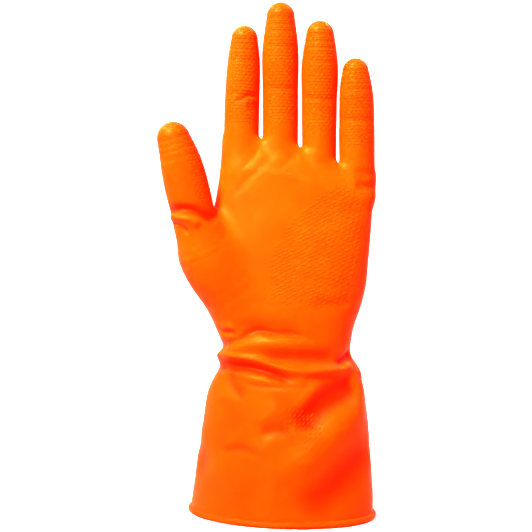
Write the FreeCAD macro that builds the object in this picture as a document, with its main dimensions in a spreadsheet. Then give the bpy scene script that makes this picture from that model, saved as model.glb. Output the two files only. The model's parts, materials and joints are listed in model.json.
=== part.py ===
"""Left-hand household rubber glove, held open in its moulded shape, fingers up and palm towards -Y.

Millimetres, +Z up. The origin is the centre of the cuff's mouth, on the plane that the rolled bead rests on.
The glove is one dip-moulded film with a cotton flock bonded inside. It is divided at its flex creases, so each
zone between two creases is a rubber shell with its own lining. A zone turns on the next one about the crease on
its palm side, where the rubber folds, and opens on its back, where the real rubber stretches.
"""

import FreeCAD
import Part
import math
import os

import Sketcher

Vector = FreeCAD.Vector
Placement = FreeCAD.Placement
Rotation = FreeCAD.Rotation
UPRIGHT = Rotation()

# Driving dimensions, in millimetres and degrees. A ring is an oval level of the film.
FILM = {
    "rubber_wall": 0.45,
    "flock_wall": 0.3,
    "crease_gap": 0.4,
    "bead_radius": 2.1,
    "bead_flat": 0.25,
    "tool_reach": 2.0,
}

# Oval levels: height, centre x, half width, half depth, and yaw about Z.
RINGS = {
    "hem": (3.95, 0.0, 53.4, 34.0, -12.0),
    "cuff_low": (39.0, 1.8, 50.8, 32.0, -10.0),
    "cuff_high": (67.0, 2.4, 47.2, 30.0, -6.0),
    "cuff_neck": (84.0, 4.6, 41.3, 27.5, 0.0),
    "wrist": (98.0, 3.0, 37.4, 25.5, 0.0),
    "palm_heel": (124.0, 3.6, 44.2, 22.5, 0.0),
    "palm_low": (150.0, 4.6, 47.4, 20.0, 0.0),
    "palm_high": (181.0, 7.2, 47.6, 17.5, 0.0),
    "knuckle": (216.5, 9.9, 47.6, 14.0, 0.0),
}
KNUCKLE_SLOPE = 13.0

# Thumb ball: centre x, centre y, centre height and radius of the rounds from the wrist to the thumb's root.
THUMB_BALL = {
    "ball_heel": (-24.0, -3.0, 108.0, 12.0),
    "ball_low": (-33.6, -6.0, 130.0, 17.0),
    "ball_high": (-44.0, -9.5, 152.0, 17.4),
    "ball_top": (-53.0, -13.0, 174.0, 13.6),
}

# Digits: root x, root y, root height, sideways lean, forward lean, roll of the pad side about the digit,
# radius at the root, radius of the tip dome, length from the root crease to the tip.
DIGITS = {
    "index": (-23.1, 0.0, 229.6, 2.2, 3.0, 0.0, 10.6, 8.7, 59.8),
    "middle": (-0.4, 0.0, 229.0, 0.0, 3.0, 0.0, 10.7, 9.2, 73.1),
    "ring": (22.6, 0.0, 225.0, 0.0, 3.0, 0.0, 10.6, 9.1, 65.5),
    "pinky": (45.6, 0.0, 216.0, -1.2, 3.0, 0.0, 10.1, 8.2, 54.4),
    "thumb": (-54.6, -13.6, 181.0, -11.0, 6.0, 38.0, 12.4, 9.8, 51.5),
}
DIGIT_FIELDS = ("x", "y", "level", "lean", "forward", "roll", "root_radius", "tip_radius", "length")

# Where each crease lies along its digit, as a share of its length, and the bend that the mould gives it.
FINGER_CREASES = {"finger_mid_share": 0.31, "finger_end_share": 0.65}
THUMB_CREASES = {"thumb_end_share": 0.5}
MOULDED_BEND = {"mid_bend": 5.0, "end_bend": 4.0}

STUB_DEPTH = 26.0  # how far a digit's socket reaches down into the palm
RING_FIELDS = ("level", "shift", "half_width", "half_depth", "yaw")
BALL_FIELDS = ("x", "y", "level", "radius")


def make_sheet(doc):
    """The spreadsheet of driving dimensions, one alias to a cell."""
    sheet = doc.addObject("Spreadsheet::Sheet", "Sizes")
    sizes = dict(FILM, knuckle_slope=KNUCKLE_SLOPE, stub_depth=STUB_DEPTH)
    sizes.update(FINGER_CREASES, **THUMB_CREASES, **MOULDED_BEND)
    for table, fields in ((RINGS, RING_FIELDS), (THUMB_BALL, BALL_FIELDS), (DIGITS, DIGIT_FIELDS)):
        for name, values in table.items():
            for field, value in zip(fields, values):
                sizes[f"{name}_{field}"] = value
    for row, (alias, value) in enumerate(sizes.items(), start=1):
        sheet.set(f"A{row}", alias)
        sheet.set(f"B{row}", str(value))
        sheet.setAlias(f"B{row}", alias)
    doc.recompute()
    return sheet


class Glove:
    """Builds the zones in one document, each from the sheet's cells."""

    def __init__(self, doc, sheet):
        self.doc = doc
        self.sheet = sheet
        self.zones = []
        self.rubber = "Sizes.rubber_wall"
        self.flock = "Sizes.rubber_wall + Sizes.flock_wall"

    def size(self, alias):
        """A cell's value as a plain number."""
        return float(getattr(self.sheet, alias))

    def keep(self, item, label):
        """Labels a finished zone, so that it is exported under that name."""
        item.Label = label
        self.zones.append(item)
        return item

    def feature(self, kind, name, placement=None, **bound):
        """Adds a document object and binds its sizes to expressions."""
        item = self.doc.addObject(kind, name)
        for prop, expression in bound.items():
            item.setExpression(prop, expression)
        if placement is not None:
            item.Placement = placement
        return item

    def cut(self, name, base, tool):
        """A boolean cut of two document objects."""
        item = self.doc.addObject("Part::Cut", name)
        item.Base = base
        item.Tool = tool
        return item

    def fuse(self, name, shapes):
        """A boolean union of several document objects."""
        item = self.doc.addObject("Part::MultiFuse", name)
        item.Shapes = shapes
        return item

    def loft(self, name, sections):
        """A smooth solid through closed sections."""
        item = self.doc.addObject("Part::Loft", name)
        item.Sections = sections
        item.Solid = True
        item.Ruled = False
        return item

    # ---- oval levels of cuff, wrist and palm -------------------------------------------------

    def ring(self, name, inset, suffix, lift="0", slope=0.0):
        """One oval level of the film, drawn in by inset and moved up by lift."""
        turn = Rotation(Vector(0, 1, 0), slope) * Rotation(Vector(0, 0, 1), self.size(f"{name}_yaw"))
        item = self.feature(
            "Part::Ellipse",
            f"{name}_ring_{suffix}",
            Placement(Vector(self.size(f"{name}_shift"), 0, 0), turn),
            MajorRadius=f"Sizes.{name}_half_width - ({inset})",
            MinorRadius=f"Sizes.{name}_half_depth - ({inset})",
        )
        item.setExpression("Placement.Base.z", f"Sizes.{name}_level + ({lift})")
        return item

    def plug(self, name, ring, height, suffix):
        """A short oval prism that carries a cutting tool past an open end."""
        item = self.doc.addObject("Part::Extrusion", f"{name}_plug_{suffix}")
        item.Base = ring
        item.DirMode = "Custom"
        item.Dir = Vector(0, 0, 1)
        item.Solid = True
        item.setExpression("LengthFwd", height)
        return item

    def sleeve(self, label, levels, lifts):
        """A tube of film through several oval levels, open at both ends, and its lining."""

        def core(inset, suffix):
            rings = [self.ring(n, inset, f"{label}_{suffix}", lift) for n, lift in zip(levels, lifts)]
            body = self.loft(f"{label}_core_{suffix}", rings)
            low = self.plug(label, rings[0], "-Sizes.tool_reach", f"{suffix}_low")
            high = self.plug(label, rings[-1], "Sizes.tool_reach", f"{suffix}_high")
            return body, self.fuse(f"{label}_tool_{suffix}", [body, low, high])

        outer, _ = core("0", "outer")
        middle, middle_tool = core(self.rubber, "middle")
        _, inner_tool = core(self.flock, "inner")
        self.keep(self.cut(f"{label}_skin", outer, middle_tool), f"{label}_shell")
        self.keep(self.cut(f"{label}_flock", middle, inner_tool), f"{label}_lining")

    def bead(self):
        """The rolled edge of the cuff, a round bead along the hem, flattened where it rests."""
        radius = self.size("bead_radius")
        centre_level = radius - self.size("bead_flat")
        turn = Rotation(Vector(0, 0, 1), self.size("hem_yaw"))
        path = self.feature(
            "Part::Ellipse",
            "bead_path",
            Placement(Vector(self.size("hem_shift"), 0, 0), turn),
            MajorRadius="Sizes.hem_half_width - Sizes.rubber_wall / 2",
            MinorRadius="Sizes.hem_half_depth - Sizes.rubber_wall / 2",
        )
        path.setExpression("Placement.Base.z", "Sizes.bead_radius - Sizes.bead_flat")
        end = self.size("hem_half_width") - self.size("rubber_wall") / 2
        start = Vector(self.size("hem_shift"), 0, centre_level) + turn.multVec(Vector(end, 0, 0))
        section = self.feature(
            "Part::Circle",
            "bead_section",
            Placement(start, turn * Rotation(Vector(1, 0, 0), 90)),
            Radius="Sizes.bead_radius",
        )
        roll = self.doc.addObject("Part::Sweep", "bead_roll")
        roll.Sections = [section]
        roll.Spine = (path, ["Edge1"])
        roll.Solid = True
        roll.Frenet = True
        slab_side = 4 * end
        slab = self.feature(
            "Part::Box",
            "rest_slab",
            Placement(Vector(-slab_side / 2, -slab_side / 2, -slab_side), UPRIGHT),
            Length=f"{slab_side}",
            Width=f"{slab_side}",
            Height=f"{slab_side}",
        )
        self.keep(self.cut("bead_flattened", roll, slab), "cuff_bead")

    # ---- digits ------------------------------------------------------------------------------

    def digit_frame(self, digit):
        """The frame at a digit's root crease: z along the digit, -y to the pad, x along the hinge."""
        base = Vector(self.size(f"{digit}_x"), self.size(f"{digit}_y"), self.size(f"{digit}_level"))
        lean = Rotation(Vector(0, 1, 0), self.size(f"{digit}_lean"))
        forward = Rotation(Vector(1, 0, 0), self.size(f"{digit}_forward"))
        roll = Rotation(Vector(0, 0, 1), self.size(f"{digit}_roll"))
        return Placement(base, lean * forward * roll)

    def radius_at(self, digit, share):
        """A digit's radius at a share of its length, as a number and as an expression."""
        root, tip = f"Sizes.{digit}_root_radius", f"Sizes.{digit}_tip_radius"
        value = self.size(f"{digit}_root_radius")
        value += share * (self.size(f"{digit}_tip_radius") - value)
        return value, f"({root} + {share} * ({tip} - {root}))"

    def profile(self, body, name, radii, length, insets, closed):
        """The half section of a zone of a digit, in the body's XZ plane: a tapered wall, with a dome if closed.

        radii and length are (number, expression) pairs, insets the wall's outer and inner face, as expressions.
        """
        (low, low_word), (high, high_word) = radii
        span, span_word = length
        outer_word, inner_word = insets
        outer, inner = (self.inset_value(w) for w in insets)
        shoulder = span - high if closed else span
        shoulder_word = f"({span_word}) - ({high_word})" if closed else span_word
        sketch = body.newObject("Sketcher::SketchObject", name)
        plane = next(f for f in body.Origin.OriginFeatures if f.Role == "XZ_Plane")
        sketch.AttachmentSupport = [(plane, "")]
        sketch.MapMode = "FlatFace"

        def line(x1, y1, x2, y2):
            return sketch.addGeometry(Part.LineSegment(Vector(x1, y1, 0), Vector(x2, y2, 0)), False)

        def join(first, first_end, second, second_end):
            sketch.addConstraint(Sketcher.Constraint("Coincident", first, first_end, second, second_end))

        def bind(kind, geometry, end, number, expression):
            at = sketch.addConstraint(Sketcher.Constraint(kind, -1, 1, geometry, end, number))
            sketch.setExpression(f"Constraints[{at}]", expression)

        outside = line(low - outer, 0, high - outer, shoulder)
        inside = line(high - inner, shoulder, low - inner, 0)
        base = line(low - inner, 0, low - outer, 0)
        join(inside, 2, base, 1)
        join(base, 2, outside, 1)
        sketch.addConstraint(Sketcher.Constraint("Horizontal", base))
        sketch.addConstraint(Sketcher.Constraint("PointOnObject", base, 1, -1))
        bind("DistanceX", outside, 1, low - outer, f"{low_word} - ({outer_word})")
        bind("DistanceX", base, 1, low - inner, f"{low_word} - ({inner_word})")
        bind("DistanceX", outside, 2, high - outer, f"{high_word} - ({outer_word})")
        bind("DistanceX", inside, 1, high - inner, f"{high_word} - ({inner_word})")
        bind("DistanceY", outside, 2, shoulder, shoulder_word)
        bind("DistanceY", inside, 1, shoulder, shoulder_word)
        if not closed:
            rim = line(high - outer, shoulder, high - inner, shoulder)
            join(outside, 2, rim, 1)
            join(rim, 2, inside, 1)
            return sketch
        arcs = []
        for inset in (outer, inner):
            circle = Part.Circle(Vector(0, shoulder, 0), Vector(0, 0, 1), high - inset)
            arcs.append(sketch.addGeometry(Part.ArcOfCircle(circle, 0, math.pi / 2), False))
        crown = line(0, shoulder + high - outer, 0, shoulder + high - inner)
        for arc in arcs:
            sketch.addConstraint(Sketcher.Constraint("PointOnObject", arc, 3, -2))
            sketch.addConstraint(Sketcher.Constraint("PointOnObject", arc, 2, -2))
            bind("DistanceY", arc, 3, shoulder, shoulder_word)
        join(outside, 2, arcs[0], 1)
        join(arcs[0], 2, crown, 1)
        join(crown, 2, arcs[1], 2)
        join(arcs[1], 1, inside, 1)
        return sketch

    def inset_value(self, expression):
        """The number of an inset expression made of film thicknesses."""
        terms = [t.strip() for t in expression.split("+")]
        return sum(self.size(t[len("Sizes."):]) if t.startswith("Sizes.") else float(t) for t in terms)

    def digit_zone(self, label, placement, radii, length, closed):
        """A zone of a digit: a revolved rubber shell and its lining."""
        layers = ((f"{label}_shell", ("0", self.rubber)), (f"{label}_lining", (self.rubber, self.flock)))
        for name, insets in layers:
            body = self.doc.addObject("PartDesign::Body", name)
            sketch = self.profile(body, f"{name}_section", radii, length, insets, closed)
            self.doc.recompute()
            turned = body.newObject("PartDesign::Revolution", f"{name}_turned")
            turned.Profile = sketch
            turned.ReferenceAxis = (sketch, ["V_Axis"])
            turned.Angle = 360
            body.Tip = turned
            body.Placement = placement
            self.keep(body, name)

    def creases(self, digit):
        """The zones of a digit: name, start share, end share and the cells that hold them."""
        if digit == "thumb":
            end = self.size("thumb_end_share")
            return [("base", 0.0, end, "0", "Sizes.thumb_end_share", 0.0),
                    ("tip", end, 1.0, "Sizes.thumb_end_share", "1", self.size("mid_bend"))]
        mid, end = self.size("finger_mid_share"), self.size("finger_end_share")
        return [("base", 0.0, mid, "0", "Sizes.finger_mid_share", 0.0),
                ("middle", mid, end, "Sizes.finger_mid_share", "Sizes.finger_end_share", self.size("mid_bend")),
                ("tip", end, 1.0, "Sizes.finger_end_share", "1", self.size("end_bend"))]

    def digit(self, digit):
        """All zones of one digit, each bent on the one before it about the crease on the pad side.

        Returns the crease of each zone as (zone, point, axis), for the joints.
        """
        frame = self.digit_frame(digit)
        whole = self.size(f"{digit}_length")
        gap = self.size("crease_gap")
        joints = []
        for zone, start, end, start_word, end_word, bend in self.creases(digit):
            low, low_word = self.radius_at(digit, start)
            high, high_word = self.radius_at(digit, end)
            crease = frame.multiply(Placement(Vector(0, -low, 0), Rotation(Vector(1, 0, 0), bend)))
            joints.append((f"{digit}_{zone}", crease.Base, crease.Rotation.multVec(Vector(1, 0, 0))))
            frame = crease.multiply(Placement(Vector(0, low, 0), UPRIGHT))
            tip = zone == "tip"
            length_word = f"Sizes.{digit}_length * ({end_word} - {start_word})"
            length_word += " - Sizes.crease_gap / 2" if tip else " - Sizes.crease_gap"
            length = whole * (end - start) - (gap / 2 if tip else gap)
            self.digit_zone(
                f"{digit}_{zone}",
                frame.multiply(Placement(Vector(0, 0, gap / 2), UPRIGHT)),
                ((low, low_word), (high, high_word)),
                (length, length_word),
                closed=tip,
            )
            frame = frame.multiply(Placement(Vector(0, 0, whole * (end - start)), UPRIGHT))
        return joints

    # ---- the hand ----------------------------------------------------------------------------

    def socket(self, digit, inset, suffix, past):
        """The round stub of the palm that a digit hinges on, ending at the root crease or past it."""
        depth = self.size("stub_depth")
        frame = self.digit_frame(digit).multiply(Placement(Vector(0, 0, -depth), UPRIGHT))
        past_word = " + Sizes.tool_reach" if past else " - Sizes.crease_gap / 2"
        return self.feature(
            "Part::Cylinder",
            f"{digit}_socket_{suffix}",
            frame,
            Radius=f"Sizes.{digit}_root_radius - ({inset})",
            Height=f"Sizes.stub_depth{past_word}",
        )

    def hand_core(self, inset, suffix):
        """The solid form of the hand drawn in by inset, and the same form carried past its open ends."""
        names = ("wrist", "palm_heel", "palm_low", "palm_high", "knuckle")
        rings = [self.ring(n, inset, f"hand_{suffix}", self.hand_lift(n, inset), self.slope(n)) for n in names]
        palm = self.loft(f"palm_core_{suffix}", rings)
        rounds = []
        top = self.digit_frame("thumb").Rotation
        for name in THUMB_BALL:
            centre = Vector(*(self.size(f"{name}_{field}") for field in ("x", "y", "level")))
            tilt = Rotation(Vector(0, 0, 1), self.ball_axis())
            if name == "ball_top":
                # its flat end steps in to the thumb's socket, so that shoulder needs its own wall
                tilt = top
                centre -= top.multVec(Vector(0, 0, self.inset_value(inset)))
            rounds.append(
                self.feature(
                    "Part::Circle",
                    f"{name}_round_{suffix}",
                    Placement(centre, tilt),
                    Radius=f"Sizes.{name}_radius - ({inset})",
                )
            )
        ball = self.loft(f"thumb_ball_{suffix}", rounds)
        stubs = [self.socket(d, inset, f"{suffix}_short", past=False) for d in DIGITS]
        solid = self.fuse(f"hand_core_{suffix}", [palm, ball] + stubs)
        long_stubs = [self.socket(d, inset, f"{suffix}_long", past=True) for d in DIGITS]
        plug = self.plug("hand", rings[0], "-Sizes.tool_reach", suffix)
        return solid, self.fuse(f"hand_tool_{suffix}", [palm, ball, plug] + long_stubs)

    def slope(self, ring_name):
        """The knuckle line falls towards the little finger, and the other levels are level."""
        return self.size("knuckle_slope") if ring_name == "knuckle" else 0.0

    def hand_lift(self, ring_name, inset):
        """The knuckle level also drops by the inset, because it closes the palm between the fingers."""
        if ring_name == "knuckle":
            return f"-({inset})"
        return "Sizes.crease_gap / 2" if ring_name == "wrist" else "0"

    def ball_axis(self):
        """The way from the heel of the thumb ball to its top."""
        points = [
            Vector(*(self.size(f"{name}_{field}") for field in ("x", "y", "level")))
            for name in ("ball_heel", "ball_top")
        ]
        return points[1] - points[0]

    def hand(self):
        """The palm with the thumb ball and the five sockets, and its lining."""
        outer, _ = self.hand_core("0", "outer")
        middle, middle_tool = self.hand_core(self.rubber, "middle")
        _, inner_tool = self.hand_core(self.flock, "inner")
        self.keep(self.cut("hand_skin", outer, middle_tool), "hand_shell")
        self.keep(self.cut("hand_flock", middle, inner_tool), "hand_lining")


def check_objects(doc):
    """Stops if an object failed to compute."""
    for item in doc.Objects:
        if "Invalid" in item.State or "Error" in item.State:
            raise RuntimeError(f"{item.Label} did not compute: {item.State}")


def export(zones):
    """Checks each zone's shape and writes it as a STEP file under its label."""
    os.makedirs("parts", exist_ok=True)
    for item in zones:
        shape = item.Shape
        if shape.isNull() or not shape.isValid() or not shape.Solids:
            raise RuntimeError(f"{item.Label} has no valid solid")
        shape.exportStep(f"parts/{item.Label}.step")
        box = shape.BoundBox
        print(f"{item.Label:22s} {shape.Volume:9.1f} mm3  {box.XLength:6.1f} {box.YLength:6.1f} {box.ZLength:6.1f}")


def main():
    doc = FreeCAD.newDocument("rubber_glove")
    sheet = make_sheet(doc)
    glove = Glove(doc, sheet)
    glove.bead()
    glove.sleeve("cuff", ("hem", "cuff_low", "cuff_high", "cuff_neck"), ("0", "0", "0", "-Sizes.crease_gap / 2"))
    glove.sleeve("wrist", ("cuff_neck", "wrist"), ("Sizes.crease_gap / 2", "-Sizes.crease_gap / 2"))
    glove.hand()
    joints = [joint for digit in DIGITS for joint in glove.digit(digit)]
    doc.recompute()
    check_objects(doc)
    export(glove.zones)
    for name, point, axis in joints:
        print("crease", name, *(f"{v:.3f}" for v in (*point, *axis)))


main()
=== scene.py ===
"""A left-hand household rubber glove, standing on its cuff with the palm towards -Y.

One dip-moulded orange latex film runs from the finger tips to a rolled bead, with gathered folds at the
wrist, small raised dashes where the hand grips, and a cotton flock bonded inside. Lengths are in millimetres
up to the point where a mesh is made, and in metres from there on.
"""

import json
import logging
import math
from dataclasses import astuple, dataclass, field
from enum import Enum
from functools import partial
from typing import Callable, Iterable, Iterator, Sequence

import bpy
import numpy as np
from bpy.types import ID, Material, Mesh, Node, NodeSocket, NodeTree, Object
from mathutils import Matrix, Vector

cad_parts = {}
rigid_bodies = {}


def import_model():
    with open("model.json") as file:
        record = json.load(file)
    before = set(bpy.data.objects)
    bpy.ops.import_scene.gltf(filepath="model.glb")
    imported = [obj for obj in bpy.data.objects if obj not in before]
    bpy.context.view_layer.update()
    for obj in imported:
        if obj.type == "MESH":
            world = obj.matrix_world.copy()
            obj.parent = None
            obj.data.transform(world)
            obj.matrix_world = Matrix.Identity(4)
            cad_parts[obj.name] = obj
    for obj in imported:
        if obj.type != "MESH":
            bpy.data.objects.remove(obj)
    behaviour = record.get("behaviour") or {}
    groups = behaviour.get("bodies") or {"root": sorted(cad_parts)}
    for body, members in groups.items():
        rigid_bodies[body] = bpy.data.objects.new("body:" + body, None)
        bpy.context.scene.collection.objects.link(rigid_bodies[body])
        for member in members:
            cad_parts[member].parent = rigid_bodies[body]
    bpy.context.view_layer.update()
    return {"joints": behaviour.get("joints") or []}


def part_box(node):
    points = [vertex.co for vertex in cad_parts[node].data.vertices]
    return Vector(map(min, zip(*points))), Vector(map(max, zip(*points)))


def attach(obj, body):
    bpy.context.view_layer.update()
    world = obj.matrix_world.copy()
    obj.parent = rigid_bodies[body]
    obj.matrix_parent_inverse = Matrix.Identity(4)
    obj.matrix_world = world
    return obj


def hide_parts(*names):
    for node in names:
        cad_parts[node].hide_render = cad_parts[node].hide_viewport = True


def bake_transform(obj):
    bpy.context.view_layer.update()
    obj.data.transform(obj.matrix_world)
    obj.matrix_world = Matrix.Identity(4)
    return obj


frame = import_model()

Array = np.ndarray
LOG = logging.getLogger("rubber_glove")
MM = 0.001
FAR = 1000.0  # a distance that no smooth join reaches, in mm
# Where a viewer of the palm side stands, in mm, and the height that sketches of that side are counted from.
SKETCH_EYE = (-9.0, -550.0, 147.5)
SKETCH_ZERO = 2.2


class Side(Enum):
    """Which way a fold's path is read."""

    FRONT = "round the cuff or wrist, x as seen from the palm side"
    BACK = "round the cuff or wrist, x as seen from the back"
    PALM = "flat on the palm side of the hand"
    KNUCKLES = "flat on the back of the hand"


# ---- small geometry helpers ----


def smoothstep(value: Array, low: float, high: float) -> Array:
    """Eases from 0 at low to 1 at high.

    Args:
        value: What is eased.
        low: Where the result is still 0.
        high: Where it reaches 1.

    Returns:
        The eased shares.
    """
    t = np.clip((value - low) / (high - low), 0.0, 1.0)
    return t * t * (3.0 - 2.0 * t)


def smooth_union(a: Array, b: Array, reach: float) -> Array:
    """Joins two distance fields with a fillet.

    Args:
        a: Distances to the first form, in mm.
        b: Distances to the second form, in mm.
        reach: How far the fillet spreads, in mm.

    Returns:
        Distances to the joined form.
    """
    h = np.clip(0.5 + 0.5 * (b - a) / reach, 0.0, 1.0)
    return b + (a - b) * h - reach * h * (1.0 - h)


def smooth_path(points: Sequence[Sequence[float]], steps: int) -> Array:
    """Runs a smooth line through points.

    Args:
        points: The points that the line passes, two or more.
        steps: Straight steps between each two points.

    Returns:
        The line's points, one row each.
    """
    p = np.asarray(points, float)
    if len(p) < 3:
        return np.linspace(p[0], p[-1], steps + 1)
    p = np.vstack([2 * p[0] - p[1], p, 2 * p[-1] - p[-2]])
    t = np.linspace(0.0, 1.0, steps, endpoint=False)[:, None]
    runs = []
    for a, b, c, d in zip(p, p[1:], p[2:], p[3:]):
        square, cube = 2 * a - 5 * b + 4 * c - d, 3 * b - a - 3 * c + d
        runs.append(0.5 * (2 * b + (c - a) * t + square * t**2 + cube * t**3))
    return np.vstack(runs + [p[-2][None, :]])


def eased(at: Array, stations: Array, values: Array) -> Array:
    """Values between stations, with no corner at a station: one row for each place asked for.

    Args:
        at: The places asked for.
        stations: The places that have values, rising.
        values: A row of values for each station.

    Returns:
        A row of values for each place.
    """
    slope = np.gradient(values, stations, axis=0)
    i = np.clip(np.searchsorted(stations, at, side="right") - 1, 0, len(stations) - 2)
    run = (stations[i + 1] - stations[i])[:, None]
    t = (at - stations[i])[:, None] / run
    return (
        (2 * t**3 - 3 * t**2 + 1) * values[i]
        + (t**3 - 2 * t**2 + t) * run * slope[i]
        + (3 * t**2 - 2 * t**3) * values[i + 1]
        + (t**3 - t**2) * run * slope[i + 1]
    )


def arc_lengths(line: Array) -> Array:
    """The way along a line from its start to each of its points, in mm."""
    return np.concatenate([[0.0], np.cumsum(np.linalg.norm(np.diff(line, axis=0), axis=1))])


def unit(vector: Array) -> Array:
    """The vector or vectors at length one."""
    return vector / np.maximum(np.linalg.norm(vector, axis=-1, keepdims=True), 1e-12)


def turned(vector: Array, axis: Array, degrees: float) -> Array:
    """A vector turned about an axis by the right-hand rule."""
    return np.array(Matrix.Rotation(math.radians(degrees), 3, Vector(axis)) @ Vector(vector))


# ---- forms ----


@dataclass(frozen=True)
class Level:
    """One oval level of the sleeve, in mm: where its sides, depth and corners lie."""

    height: float
    left: float
    right: float
    depth: float
    squareness: float = 2.0
    yaw: float = 0.0


@dataclass
class Sleeve:
    """Cuff, wrist and palm: one tube of oval levels, closed at the webs between the fingers."""

    levels: tuple[Level, ...]
    web_line: tuple[tuple[float, float], ...]
    web_rounding: float = 4.0
    web_taper: float = 0.42
    web_reach: float = 20.0
    web_steepness: float = 0.97
    table_step: float = 0.5
    heights: Array = field(init=False)
    table: Array = field(init=False)

    def __post_init__(self) -> None:
        """Fills a fine table of levels, eased between the given ones."""
        rows = np.array([astuple(level) for level in self.levels])
        self.heights = np.arange(rows[0, 0], rows[-1, 0] + self.table_step, self.table_step)
        self.table = eased(self.heights, rows[:, 0], rows[:, 1:])

    def at(self, height: Array) -> list[Array]:
        """The centre x, half width, half depth, squareness and yaw at each height."""
        left, right, depth, square, yaw = (np.interp(height, self.heights, row) for row in self.table.T)
        return [(left + right) / 2, (right - left) / 2, depth, square, np.radians(yaw)]

    def local(self, p: Array) -> tuple[Array, Array, Array, Array, Array]:
        """A point's place across and along the depth of its level, and the level's size there.

        Args:
            p: Points in mm.

        Returns:
            Place across, place in depth, half width, half depth and squareness.
        """
        centre, width, depth, square, yaw = self.at(p[:, 2])
        depth = depth * (1.0 - self.web_taper * smoothstep(self.below_web(p), -self.web_reach, 0.0))
        x, y = p[:, 0] - centre, p[:, 1]
        turn, lean = np.cos(yaw), np.sin(yaw)
        return x * turn + y * lean, y * turn - x * lean, width, depth, square

    def below_web(self, p: Array) -> Array:
        """How far a point stands above the webs' line, in mm: negative below it."""
        web_x, web_z = np.array(self.web_line).T
        return (p[:, 2] - np.interp(p[:, 0], web_x, web_z)) * self.web_steepness

    def distance(self, p: Array) -> Array:
        """Distance to the sleeve's outside, in mm, close to its surface.

        Args:
            p: Points in mm.

        Returns:
            Distances in mm, negative inside.
        """
        x, y, width, depth, square = self.local(p)
        u, v = np.abs(x) / width + 1e-6, np.abs(y) / depth + 1e-6
        total = u**square + v**square
        size = total ** (1.0 / square)
        slope = np.hypot(u ** (square - 1) / width, v ** (square - 1) / depth) * size / total
        wall = (size - 1.0) / np.maximum(slope, 1e-4)
        return -smooth_union(-wall, -self.below_web(p), self.web_rounding)

    def around(self, p: Array) -> Array:
        """The angle round the sleeve in radians: 0 at the middle of the palm side, rising towards +X."""
        x, y, width, depth, _ = self.local(p)
        return np.arctan2(x / width, -y / depth)

    def angle_of(self, x: float, height: float) -> float:
        """The angle at which a place seen from the front lies; an x past the outline runs on round it.

        Args:
            x: The place in mm.
            height: Its height in mm.

        Returns:
            The angle in radians.
        """
        centre, width, *_ = self.at(np.array([height]))
        share = (x - float(centre[0])) / float(width[0])
        if abs(share) <= 1.0:
            return math.asin(share)
        return math.copysign(math.pi / 2 + (abs(share) - 1.0), share)


@dataclass
class Tube:
    """A tube of changing radius about a smooth spine, with round ends: a digit, or the thumb's ball."""

    spine: Array
    arc_at: Array
    radii: Array
    pad: Array
    flatness: float = 1.0
    arc: Array = field(init=False)

    def __post_init__(self) -> None:
        """Measures the spine, from its first radius station, and eases the radii between stations."""
        fine = np.linspace(self.arc_at[0], self.arc_at[-1], 160)
        self.radii = eased(fine, self.arc_at, self.radii[:, None])[:, 0]
        self.arc_at = fine
        self.arc = self.arc_at[0] + arc_lengths(self.spine)

    def nearest(self, p: Array, reach: float = 14.0) -> tuple[Array, Array]:
        """The distance to the tube and the station along it.

        Args:
            p: Points in mm.
            reach: How far from the tube the answer has to be right.

        Returns:
            Distances in mm, FAR where out of reach, and stations along the spine in mm.
        """
        far = self.radii.max() + reach
        near = np.all((p > self.spine.min(0) - far) & (p < self.spine.max(0) + far), axis=1)
        q = p[near]
        best = np.full(len(q), FAR)
        station = np.zeros(len(q))
        for start, end, arc in zip(self.spine, self.spine[1:], self.arc):
            run = end - start
            t = np.clip((q - start) @ run / (run @ run), 0.0, 1.0)
            off = q - (start + t[:, None] * run)
            across = np.einsum("ij,ij->i", off, off)
            across += (off @ self.pad) ** 2 * (1.0 / self.flatness**2 - 1.0)
            here = arc + t * np.linalg.norm(run)
            gap = np.sqrt(across) - np.interp(here, self.arc_at, self.radii)
            closer = gap < best
            best = np.where(closer, gap, best)
            station = np.where(closer, here, station)
        distance, along = np.full(len(p), FAR), np.full(len(p), -FAR)
        distance[near], along[near] = best, station
        return distance, along

    def point(self, station: float) -> Array:
        """The spine's point at a station."""
        return np.array([np.interp(station, self.arc, column) for column in self.spine.T])

    def heading(self, station: float) -> Array:
        """The spine's direction at a station."""
        return unit(self.point(station + 1.5) - self.point(station - 1.5))


@dataclass(frozen=True)
class Bend:
    """Where one joint bends the film: the two bodies, and the stations between which the film turns."""

    body_a: str
    body_b: str
    centre: float
    before: float
    after: float


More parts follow.
